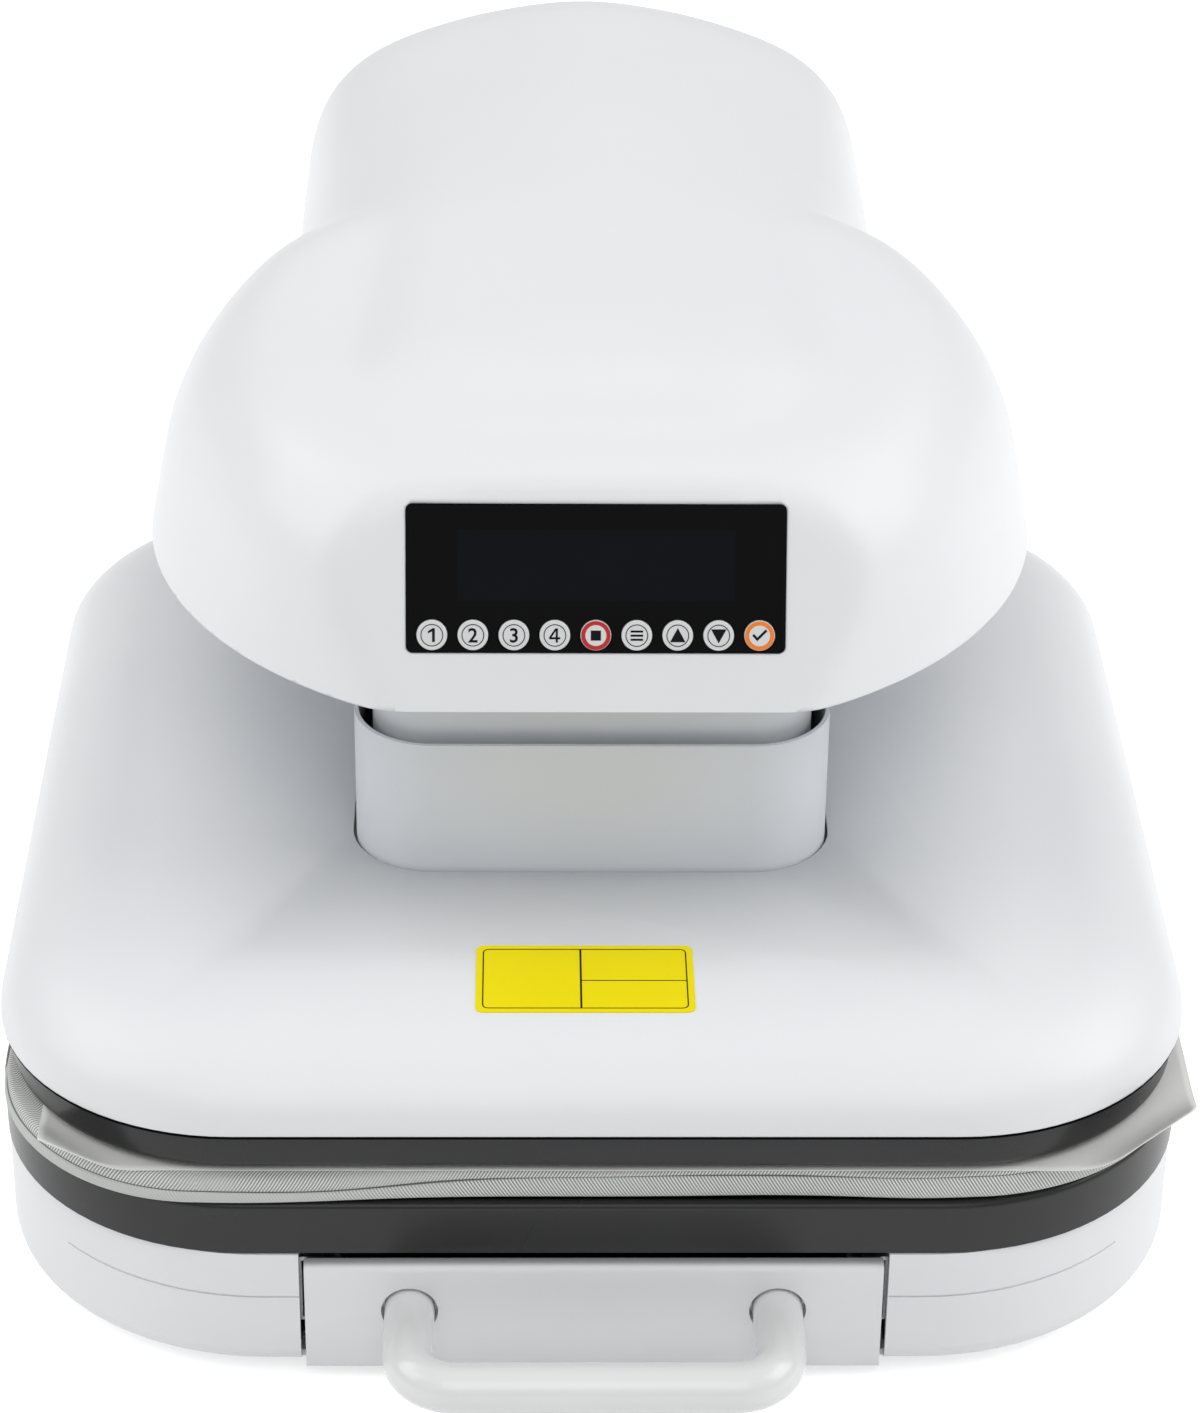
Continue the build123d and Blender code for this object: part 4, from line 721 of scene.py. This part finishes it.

# A thin black strip under the cover's rim, just outside the pan, is a painted shadow: it fills the gap
# there with black, so the gap shows as a black line all the way round.
GAP_SHADOW_INSET = 0.0003
GAP_SHADOW_WALL = 0.0018
GAP_SHADOW_DROP = 0.0013
GAP_SHADOW_LOW_Z = COVER_RIM_Z - GAP_SHADOW_DROP
GAP_SHADOW_BLACK = moulded("painted_gap_shadow", (0.001, 0.001, 0.001, 1), (0.002, 0.002, 0.002, 1), 0.8, 900.0,
                     reflection=0.02)


def gap_shadow_ring(bm):
    rounded_block(bm, COVER_WIDTH - 2 * GAP_SHADOW_INSET, COVER_DEPTH - 2 * GAP_SHADOW_INSET, GAP_SHADOW_DROP,
                  COVER_CORNER - GAP_SHADOW_INSET, COVER_CORNER_STEPS)
    flat = [face for face in bm.faces if abs(face.normal.z) > 0.9]
    bmesh.ops.delete(bm, geom=flat, context="FACES_ONLY")
    bmesh.ops.translate(bm, verts=bm.verts, vec=(0, AXIS_FOOT.y, GAP_SHADOW_LOW_Z + GAP_SHADOW_DROP / 2))


# The black strip paints the shadow in the gap under the rim, and rises and falls with the platen.
gap_shadow_piece = new_piece("cover_gap_shadow", mesh_from("cover_gap_shadow", gap_shadow_ring), "platen", GAP_SHADOW_BLACK)
thicken_inward(gap_shadow_piece, GAP_SHADOW_WALL)

# The buttons are pale grey caps with a thin ring and a sign printed on each: numbers on the four
# stored times, triangles for up and down, a red and an orange ring for halt and confirm.
BUTTON_SINK = 0.00209
PRINT_THICK = 0.00004
RING_OUTER = 0.0038
RING_WIDTH = 0.0003
WIDE_RING_OUTER = 0.00495
WIDE_RING_WIDTH = 0.0014
RING_STEPS = 48
DIGIT_HEIGHT = 0.0049
DIGIT_SHARE = 0.72
DIGIT_BOLD = 0.0001
INK = moulded("printed_ink", (0.004, 0.004, 0.005, 1), (0.008, 0.008, 0.009, 1), 0.6, reflection=0.1)
RED_INK = moulded("red_ink", (0.52, 0.008, 0.014, 1), (0.48, 0.006, 0.012, 1), 0.4)
ORANGE_INK = moulded("orange_ink", (0.86, 0.22, 0.02, 1), (0.82, 0.20, 0.02, 1), 0.4)


def raise_ink(bm, flat):
    """Gives flat faces the thickness of a layer of ink."""
    raised = bmesh.ops.extrude_face_region(bm, geom=flat)["geom"]
    tops = [item for item in raised if isinstance(item, bmesh.types.BMVert)]
    bmesh.ops.translate(bm, verts=tops, vec=(0, 0, PRINT_THICK))


def flat_ring(bm, outer, width):
    """A printed ring about the origin."""
    edge = bmesh.ops.create_circle(bm, segments=RING_STEPS, radius=outer)["verts"]
    inner = bmesh.ops.create_circle(bm, segments=RING_STEPS, radius=outer - width)["verts"]
    loops = list({side for vert in edge + inner for side in vert.link_edges})
    raise_ink(bm, bmesh.ops.bridge_loops(bm, edges=loops)["faces"])


def flat_sign(bm, corners):
    """A printed sign with straight edges."""
    raise_ink(bm, [bm.faces.new([bm.verts.new((x, y, 0)) for x, y in corners])])


def digit_mesh(digit):
    """A printed digit about the origin."""
    curve = bpy.data.curves.new("digit", "FONT")
    curve.body = digit
    curve.size = DIGIT_HEIGHT / DIGIT_SHARE
    curve.align_x = "CENTER"
    curve.align_y = "CENTER"
    curve.extrude = PRINT_THICK / 2
    curve.offset = DIGIT_BOLD
    holder = bpy.data.objects.new("digit", curve)
    bpy.context.scene.collection.objects.link(holder)
    mesh = bpy.data.meshes.new_from_object(holder)
    bpy.data.objects.remove(holder)
    bpy.data.curves.remove(curve)
    middle_x = (min(v.co.x for v in mesh.vertices) + max(v.co.x for v in mesh.vertices)) / 2
    middle_y = (min(v.co.y for v in mesh.vertices) + max(v.co.y for v in mesh.vertices)) / 2
    mesh.transform(Matrix.Translation((-middle_x, -middle_y, PRINT_THICK / 2)))
    return mesh


def on_button(name):
    """The middle of a button's face, with Z out of the panel."""
    low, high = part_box(name)
    middle = (Vector(low) + Vector(high)) / 2
    return Matrix.Translation(middle + FACE_NORMAL * BUTTON_SINK) @ FACE_TURN


def print_on(button, part, mesh, ink=INK):
    """Sets a print that was made at the origin on a button's face, where it moves with the button."""
    mesh.transform(on_button(button))
    new_piece(button + "_" + part, mesh, button, ink, smooth=False)


# The signs' corners, about the middle of a button.
ONE = ((0.0001, -0.0023), (0.0010, -0.0023), (0.0010, 0.0024), (0.0003, 0.0024), (-0.0013, 0.0014),
       (-0.0013, 0.0006), (0.0001, 0.0013))
FOUR = (
    ((0.0003, -0.0024), (0.0010, -0.0024), (0.0010, 0.0024), (0.0003, 0.0024)),
    ((-0.0019, -0.0013), (0.0018, -0.0013), (0.0018, -0.0006), (-0.0019, -0.0006)),
    ((-0.0019, -0.0006), (-0.0011, -0.0006), (0.0009, 0.0024), (0.0001, 0.0024)),
)
TRIANGLE = ((-0.0026, -0.0022), (0.0026, -0.0022), (0.0, 0.0026))
TRIANGLE_DOWN = [(-x, -y) for x, y in TRIANGLE]
SQUARE = ((-0.0017, -0.0017), (0.0017, -0.0017), (0.0017, 0.0017), (-0.0017, 0.0017))
TICK = ((-0.0025, 0.0001), (-0.0008, -0.0018), (0.0026, 0.0016), (0.0020, 0.0022), (-0.0008, -0.0006),
        (-0.0019, 0.0007))
BAR_HALF = 0.0021
BAR_THICK = 0.0007
BAR_STEP = 0.0014
WIDE_RINGS = {"button_halt": RED_INK, "button_confirm": ORANGE_INK}


def four(bm):
    for stroke in FOUR:
        flat_sign(bm, stroke)


def bars(bm):
    for step in (-BAR_STEP, 0.0, BAR_STEP):
        low, high = step - BAR_THICK / 2, step + BAR_THICK / 2
        flat_sign(bm, ((-BAR_HALF, low), (BAR_HALF, low), (BAR_HALF, high), (-BAR_HALF, high)))


def ring_mesh(outer, width):
    return mesh_from("ring", lambda bm: flat_ring(bm, outer, width))


def sign_mesh(name, corners):
    return mesh_from(name, lambda bm: flat_sign(bm, corners))


print_on("button_one", "number", sign_mesh("one", ONE))
print_on("button_two", "number", digit_mesh("2"))
print_on("button_three", "number", digit_mesh("3"))
print_on("button_four", "number", mesh_from("four", four))
for button in BUTTONS:
    if button not in WIDE_RINGS:
        print_on(button, "ring", ring_mesh(RING_OUTER, RING_WIDTH))
print_on("button_up", "sign", sign_mesh("up", TRIANGLE))
print_on("button_down", "sign", sign_mesh("down", TRIANGLE_DOWN))
print_on("button_mode", "sign", mesh_from("mode", bars))
print_on("button_halt", "sign", sign_mesh("halt", SQUARE))
print_on("button_confirm", "sign", sign_mesh("confirm", TICK))
for button, ink in WIDE_RINGS.items():
    print_on(button, "ring", ring_mesh(WIDE_RING_OUTER, WIDE_RING_WIDTH), ink)

# The sticker on the cover is bare yellow film, glued down. A thin black border and two dividing
# lines are printed on it.
STICKER_YELLOW = moulded("yellow_sticker_film", (0.86, 0.72, 0.0, 1), (0.83, 0.69, 0.0, 1), 0.35,
                         reflection=0.1)
LINE_WIDTH = 0.00045
DIVIDER_WIDTH = 1.5 * LINE_WIDTH
BORDER_INSET = 0.0022
BORDER_CORNER = 0.0022
DIVIDER_SHARE = 0.475
CROSSING_SHARE = 0.54
wear(STICKER_YELLOW, "cover_label")
label_low, label_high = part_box("cover_label")


def line(bm, x0, x1, y0, y1):
    flat_sign(bm, ((x0, y0), (x1, y0), (x1, y1), (x0, y1)))


def flat_frame(bm, width, height, corner, thick):
    """A printed border with round corners about the origin."""
    sheet = bmesh.ops.create_grid(bm, x_segments=1, y_segments=1, size=0.5)["verts"]
    bmesh.ops.scale(bm, verts=sheet, vec=(width, height, 1))
    bmesh.ops.bevel(bm, geom=sheet, offset=corner, segments=5, profile=0.5, affect="VERTICES", material=-1)
    border = bmesh.ops.inset_region(bm, faces=bm.faces[:], thickness=thick, use_boundary=True)["faces"]
    bmesh.ops.delete(bm, geom=[face for face in bm.faces if face not in border], context="FACES_ONLY")
    raise_ink(bm, border)


def label_lines(bm):
    x0, x1 = label_low[0] + BORDER_INSET, label_high[0] - BORDER_INSET
    y0, y1 = label_low[1] + BORDER_INSET, label_high[1] - BORDER_INSET
    flat_frame(bm, x1 - x0, y1 - y0, BORDER_CORNER, LINE_WIDTH)
    bmesh.ops.translate(bm, verts=bm.verts, vec=((x0 + x1) / 2, (y0 + y1) / 2, 0))
    across = x0 + DIVIDER_SHARE * (x1 - x0)
    down = y1 - CROSSING_SHARE * (y1 - y0)
    line(bm, across, across + DIVIDER_WIDTH, y0 + LINE_WIDTH, y1 - LINE_WIDTH)
    line(bm, across + DIVIDER_WIDTH, x1 - LINE_WIDTH, down, down + LINE_WIDTH)
    bmesh.ops.translate(bm, verts=bm.verts, vec=(0, 0, label_high[2]))


new_piece("cover_label_lines", mesh_from("cover_label_lines", label_lines), "platen", INK,
          smooth=False)

# The pad's cover is white cotton twill drawn around the silicone pad and tucked under it. Seen from
# the front it makes two soft layers with a fold between them, low on the left and climbing to the
# right, and it hangs out furthest at the left, nearly to the tray's edge.
PAD_LOW, PAD_HIGH = (Vector(corner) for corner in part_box("pad_cover"))
PAD_MIDDLE = (PAD_LOW + PAD_HIGH) / 2
PAD_WIDTH = 0.4060
PAD_CORNER = 0.070
PAD_SIDE_STEPS = 110
PAD_CORNER_STEPS = 44
LAYER_STEPS = 12
TOP_RINGS = (0.985, 0.95, 0.86, 0.66, 0.4, 0.12)
EVEN_SWELL = 0.0009
# Each swell's middle in X, half its length, and how far it reaches out.
FRONT_SWELLS = ((-0.118, 0.052, 0.0041), (0.0, 0.075, 0.0010), (0.110, 0.026, 0.0019))
SWELL_WANDER = 0.0004
CORNER_SKEW = 0.0017
FOLD_LOW = 0.44
FOLD_HIGH = 0.80
FOLD_CLIMB = (-0.095, -0.005)
FOLD_WANDER = 0.10
CREASE_DEPTH = 0.0016
FOOT_TUCK = 0.0015
HEAD_TUCK = 0.0030
FOOT_LIFT = 0.0001
FOOT_WANDER = 0.0004
CROWN_SINK = 0.0002
CROWN_WANDER = 0.0008
UPPER_SET_BACK = 0.0008
ROUNDNESS = 0.45
RIB_PITCH = 0.00115
RIB_LEAN = 0.6
RIB_PATCH_SCALE = 28.0
# Each fade: where the ribs are weakest, where they are full, and their share at the weakest.
RIB_PATCH_FADE = (0.38, 0.52, 0.5)
RIB_LOW_EDGE_FADE = (-0.010, -0.006, 0.25)
RIB_LEFT_FADE = (-0.092, -0.078, 0.15)
THREAD_SCALE = 1500.0
RIB_DEPTH = 0.00016
CREASE_LINE = 0.0009
CREASE_SHARE = 0.2
FLAT_CLOTH_RISE = 1.0
# The dark twill tone is painted shade in the grooves between the ribs, not the thread's own colour.
RIB_PAINTED_SHADE = (0.22, 0.23, 0.22, 1)
TWILL_WHITE = (0.87, 0.88, 0.86, 1)
# The darkest tone is a painted shadow along the fold, where the upper layer overhangs the lower one.
CREASE_PAINTED_SHADOW = (0.16, 0.17, 0.16, 1)


def rounded_outline(width, corner, side_steps, corner_steps):
    """Points and outward directions around a rounded square, from the left end of its front side."""
    straight = width / 2 - corner
    run = []
    for turn in range(4):
        spin = Matrix.Rotation(turn * math.pi / 2, 3, "Z")
        for step in range(side_steps):
            along = -straight + 2 * straight * step / side_steps
            run.append((spin @ Vector((along, -width / 2, 0)), spin @ Vector((0, -1, 0))))
        for step in range(corner_steps):
            angle = -math.pi / 2 + math.pi / 2 * step / corner_steps
            out = Vector((math.cos(angle), math.sin(angle), 0))
            middle = Vector((straight, -straight, 0))
            run.append((spin @ (middle + out * corner), spin @ out))
    return run


def wander(point, size, seed):
    """Smooth noise from -1 to 1 that changes over about the given size."""
    return noise.noise(point / size + Vector((seed, seed * 1.7, seed * 0.3)))


def cloth_swell(point, out):
    """How far the cloth stands out past its even outline: most at the left of the front."""
    swell = EVEN_SWELL + SWELL_WANDER * wander(point, 0.05, 12.0)
    for middle, half_length, reach in FRONT_SWELLS:
        share = (point.x - middle) / half_length
        swell += reach * math.exp(-share * share) * max(0.0, -out.y)
    return swell + 2 * CORNER_SKEW * out.x * out.y


def layer(foot, crest, head, low, high):
    """A cloth layer's rounded section from foot to head, as pairs of reach and height."""
    section = []
    for step in range(LAYER_STEPS + 1):
        turn = math.pi * step / LAYER_STEPS
        end = foot if step < LAYER_STEPS / 2 else head
        reach = end + (crest - end) * abs(math.sin(turn)) ** ROUNDNESS
        section.append((reach, low + (high - low) * (1 - math.cos(turn)) / 2))
    return section


def pad_section(point, out):
    """The cloth's section at one place of the outline, from its lower edge to its upper one."""
    base = PAD_LOW.z + FOOT_LIFT + FOOT_WANDER * max(0.0, wander(point, 0.07, 3.0))
    crown = PAD_HIGH.z - CROWN_SINK - CROWN_WANDER * max(0.0, wander(point, 0.09, 5.0))
    share = FOLD_LOW + (FOLD_HIGH - FOLD_LOW) * eased(point.x, *FOLD_CLIMB)
    fold = base + (crown - base) * (share + FOLD_WANDER * wander(point, 0.06, 9.0))
    crest = cloth_swell(point, out)
    crease = crest - CREASE_DEPTH
    upper = crest - UPPER_SET_BACK + UPPER_SET_BACK * wander(point, 0.06, 15.0)
    lower_layer = layer(crest - FOOT_TUCK, crest, crease, base, fold)
    upper_layer = layer(crease, upper, -HEAD_TUCK, fold, crown)
    return [point + out * reach + Vector((0, 0, height)) for reach, height in lower_layer + upper_layer[1:]]


def flat_uv(vert):
    """The UV of a flat stretch of the cloth, well clear of the crease."""
    return (vert.co.x, vert.co.y + FLAT_CLOTH_RISE)


def lay_cloth(bm, rings, cloth, lengths, flat):
    """Quads between closed rings of vertices, with the cloth's own lengths as UV."""
    count = len(rings[0])
    rise = bm.verts.layers.float["rise"]
    for low, high in zip(rings, rings[1:]):
        for index in range(count):
            follow = (index + 1) % count
            face = bm.faces.new((low[index], low[follow], high[follow], high[index]))
            ends = (index, index + 1, index + 1, index)
            for loop, end in zip(face.loops, ends):
                loop[cloth].uv = flat_uv(loop.vert) if flat else (lengths[end], loop.vert[rise])


def measure_rise(side, rise):
    """Notes at each vertex how much cloth lies between it and the crease, negative below it."""
    downwards = range(LAYER_STEPS - 1, -1, -1)
    upwards = range(LAYER_STEPS + 1, 2 * LAYER_STEPS + 1)
    for index in range(len(side[0])):
        for steps, sign in ((downwards, -1), (upwards, 1)):
            before = side[LAYER_STEPS][index]
            for step in steps:
                here = side[step][index]
                here[rise] = before[rise] + sign * (here.co - before.co).length
                before = here


def pad_cover_skin(bm):
    """The closed skin: a flat underside, the two layers around the edge, and the flat top."""
    cloth = bm.loops.layers.uv.new("cloth")
    rise = bm.verts.layers.float.new("rise")
    outline = rounded_outline(PAD_WIDTH, PAD_CORNER, PAD_SIDE_STEPS, PAD_CORNER_STEPS)
    centre = Vector((PAD_MIDDLE.x, PAD_MIDDLE.y, 0))
    sections = [pad_section(point, out) for point, out in outline]
    lengths = [0.0]
    for here, there in zip(outline, outline[1:] + outline[:1]):
        lengths.append(lengths[-1] + (there[0] - here[0]).length)
    under, side, over = [], [], []
    for share in reversed(TOP_RINGS):
        flat = [Vector((s[0].x * share, s[0].y * share, PAD_LOW.z)) for s in sections]
        under.append([bm.verts.new(centre + place) for place in flat])
    for step in range(2 * LAYER_STEPS + 1):
        side.append([bm.verts.new(centre + section[step]) for section in sections])
    for share in TOP_RINGS:
        flat = [Vector((s[-1].x * share, s[-1].y * share, s[-1].z)) for s in sections]
        over.append([bm.verts.new(centre + place) for place in flat])
    measure_rise(side, rise)
    lay_cloth(bm, under + side[:1], cloth, lengths, True)
    lay_cloth(bm, side, cloth, lengths, False)
    lay_cloth(bm, side[-1:] + over, cloth, lengths, True)
    for ring in (list(reversed(under[0])), over[-1]):
        face = bm.faces.new(ring)
        for loop in face.loops:
            loop[cloth].uv = flat_uv(loop.vert)


def share_of(tree, value, start, end, low=0.0):
    """A share that goes from low to 1 as a value goes from start to end."""
    ramp = tree.nodes.new("ShaderNodeMapRange")
    ramp.inputs["From Min"].default_value = start
    ramp.inputs["From Max"].default_value = end
    ramp.inputs["To Min"].default_value = low
    tree.links.new(value, ramp.inputs["Value"])
    return ramp.outputs["Result"]


def weave_group():
    """Twill from cloth lengths: the ribs' height, a mask of threads, and one that drops to 0 in the painted
    shadow of the crease.

    The ribs lean one way above the crease and the other way below it. They fade in patches, towards
    the lower edge, and left of the front swell on the lower layer.
    """
    group, start, end = new_group("twill weave", {"Pitch": RIB_PITCH}, ("Height", "Thread", "Clear Of Crease Shadow"))
    cloth = group.nodes.new("ShaderNodeUVMap")
    cloth.uv_map = "cloth"
    split = group.nodes.new("ShaderNodeSeparateXYZ")
    group.links.new(cloth.outputs["UV"], split.inputs["Vector"])
    along, rise = split.outputs["X"], split.outputs["Y"]
    from_crease = worked(group, "ABSOLUTE", rise)
    lean = worked(group, "MULTIPLY", from_crease, number=-RIB_LEAN)
    turns = worked(group, "DIVIDE", worked(group, "ADD", along, lean), start.outputs["Pitch"])
    wave = worked(group, "SINE", worked(group, "MULTIPLY", turns, number=2 * math.pi))
    place = group.nodes.new("ShaderNodeTexCoord")
    where = place.outputs["Object"]
    axes = group.nodes.new("ShaderNodeSeparateXYZ")
    group.links.new(where, axes.inputs["Vector"])
    drawn = share_of(group, noise_in(group, where, RIB_PATCH_SCALE, 1.0), *RIB_PATCH_FADE)
    low_edge = share_of(group, rise, *RIB_LOW_EDGE_FADE)
    upper = worked(group, "GREATER_THAN", rise)
    right = share_of(group, axes.outputs["X"], *RIB_LEFT_FADE)
    placed = worked(group, "MAXIMUM", upper, right)
    strong = worked(group, "MULTIPLY", worked(group, "MULTIPLY", drawn, low_edge), placed)
    group.links.new(worked(group, "MULTIPLY", wave, strong), end.inputs["Height"])
    group.links.new(noise_in(group, where, THREAD_SCALE, 2.0), end.inputs["Thread"])
    group.links.new(share_of(group, from_crease, CREASE_LINE / 2, CREASE_LINE), end.inputs["Clear Of Crease Shadow"])
    return group


def twill_cloth():
    material, tree, shader = plain_shader("white_twill")
    weave = place_group(tree, weave_group())
    # Painted shade: the colour runs from dark in the grooves between the ribs to white on their crowns.
    ribs = share_of(tree, weave.outputs["Height"], -1.0, 1.0, CREASE_SHARE)
    tones = tree.nodes.new("ShaderNodeValToRGB")
    tones.color_ramp.elements[0].color = CREASE_PAINTED_SHADOW
    tones.color_ramp.elements[1].color = TWILL_WHITE
    tones.color_ramp.elements.new(CREASE_SHARE).color = RIB_PAINTED_SHADE
    # Painted shadow: the colour drops to the darkest tone in a thin line along the crease.
    lit = worked(tree, "MULTIPLY", ribs, weave.outputs["Clear Of Crease Shadow"])
    tree.links.new(lit, tones.inputs["Fac"])
    tree.links.new(tones.outputs["Color"], shader.inputs["Base Color"])
    between(tree, weave.outputs["Thread"], 0.8, 0.95, shader.inputs["Roughness"])
    shader.inputs["Specular IOR Level"].default_value = 0.15
    shader.inputs["Sheen Weight"].default_value = 0.2
    bump(tree, weave.outputs["Height"], shader, RIB_DEPTH, 0.6)
    return material


pad_cover = new_piece("pad_cover_twill", mesh_from("pad_cover_twill", pad_cover_skin), "drawer",
                      twill_cloth())
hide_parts("pad_cover")

# The release sheet is a square of glass cloth with a milky slippery coat. It lies pulled forward and
# to the right on the pad, so its front edge shows as a thin pale line under the pan, and its stiff
# front corners, which the round pan doesn't hold down, stand up a little.
SHEET_LOW, SHEET_HIGH = (Vector(corner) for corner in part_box("release_sheet"))
SHEET_MIDDLE = (SHEET_LOW + SHEET_HIGH) / 2
SHEET_SIDE = 0.3935
SHEET_THICK = 0.0003
SHEET_CELLS = 150
CURL_RADIUS = 0.015
LEFT_FLAP = 0.024
LEFT_CURL = math.radians(35)
RIGHT_FLAP = 0.033
RIGHT_CURL = math.radians(50)
DROOP = 0.16
DROOP_LIMIT = 0.0035
SHEET_WAVE = 0.0004
WEAVE_DEPTH = 0.00002


def past_pad(point):
    """How far a point of the sheet lies outside the pad's rounded outline."""
    straight = PAD_WIDTH / 2 - PAD_CORNER
    across = max(0.0, abs(point.x - PAD_MIDDLE.x) - straight)
    along = max(0.0, abs(point.y - PAD_MIDDLE.y) - straight)
    return max(0.0, math.hypot(across, along) - PAD_CORNER)


def curl_corner(bm, side, flap, curl):
    """Bends a front corner up across a diagonal line that lies a flap's length in from its tip."""
    tip = Vector((SHEET_MIDDLE.x + side * SHEET_SIDE / 2, SHEET_MIDDLE.y - SHEET_SIDE / 2, 0))
    inward = Vector((-side, 1, 0)).normalized()
    for vert in bm.verts:
        past = flap - (vert.co - tip).dot(inward)
        if past > 0:
            turn = min(past / CURL_RADIUS, curl)
            straight = past - turn * CURL_RADIUS
            reach = CURL_RADIUS * math.sin(turn) + straight * math.cos(turn)
            rise = CURL_RADIUS * (1 - math.cos(turn)) + straight * math.sin(turn)
            vert.co += inward * (past - reach) + Vector((0, 0, rise))


def sheet_skin(bm):
    """A fine grid that hangs a little where it passes the pad at the back, with curled front corners."""
    bmesh.ops.create_grid(bm, x_segments=SHEET_CELLS, y_segments=SHEET_CELLS, size=SHEET_SIDE / 2)
    bmesh.ops.translate(bm, verts=bm.verts, vec=(SHEET_MIDDLE.x, SHEET_MIDDLE.y, SHEET_LOW.z))
    for vert in bm.verts:
        hang = 0.0
        if vert.co.y > SHEET_MIDDLE.y:
            hang = min(DROOP_LIMIT, DROOP * past_pad(vert.co))
        rise = SHEET_WAVE * max(0.0, wander(vert.co, 0.05, 17.0))
        vert.co.z += rise - hang
    curl_corner(bm, -1, LEFT_FLAP, LEFT_CURL)
    curl_corner(bm, 1, RIGHT_FLAP, RIGHT_CURL)


def coated_glass_cloth():
    material, tree, shader = plain_shader("coated_glass_cloth")
    place = tree.nodes.new("ShaderNodeTexCoord")
    threads = tree.nodes.new("ShaderNodeTexBrick")
    threads.inputs["Scale"].default_value = 900.0
    threads.inputs["Mortar Size"].default_value = 0.04
    threads.inputs["Color1"].default_value = (0.84, 0.845, 0.82, 1)
    threads.inputs["Color2"].default_value = (0.81, 0.815, 0.79, 1)
    threads.inputs["Mortar"].default_value = (0.74, 0.74, 0.71, 1)
    tree.links.new(place.outputs["Object"], threads.inputs["Vector"])
    tree.links.new(threads.outputs["Color"], shader.inputs["Base Color"])
    cloud = noise_in(tree, place.outputs["Object"], 60.0, 3.0)
    between(tree, cloud, 0.28, 0.42, shader.inputs["Roughness"])
    bump(tree, threads.outputs["Fac"], shader, WEAVE_DEPTH, 0.3)
    return material


sheet = new_piece("release_sheet_cloth", mesh_from("release_sheet_cloth", sheet_skin), "drawer",
                  coated_glass_cloth())
sheet_wall = sheet.modifiers.new("thickness", "SOLIDIFY")
sheet_wall.thickness = SHEET_THICK
sheet_wall.offset = 1.0
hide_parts("release_sheet")
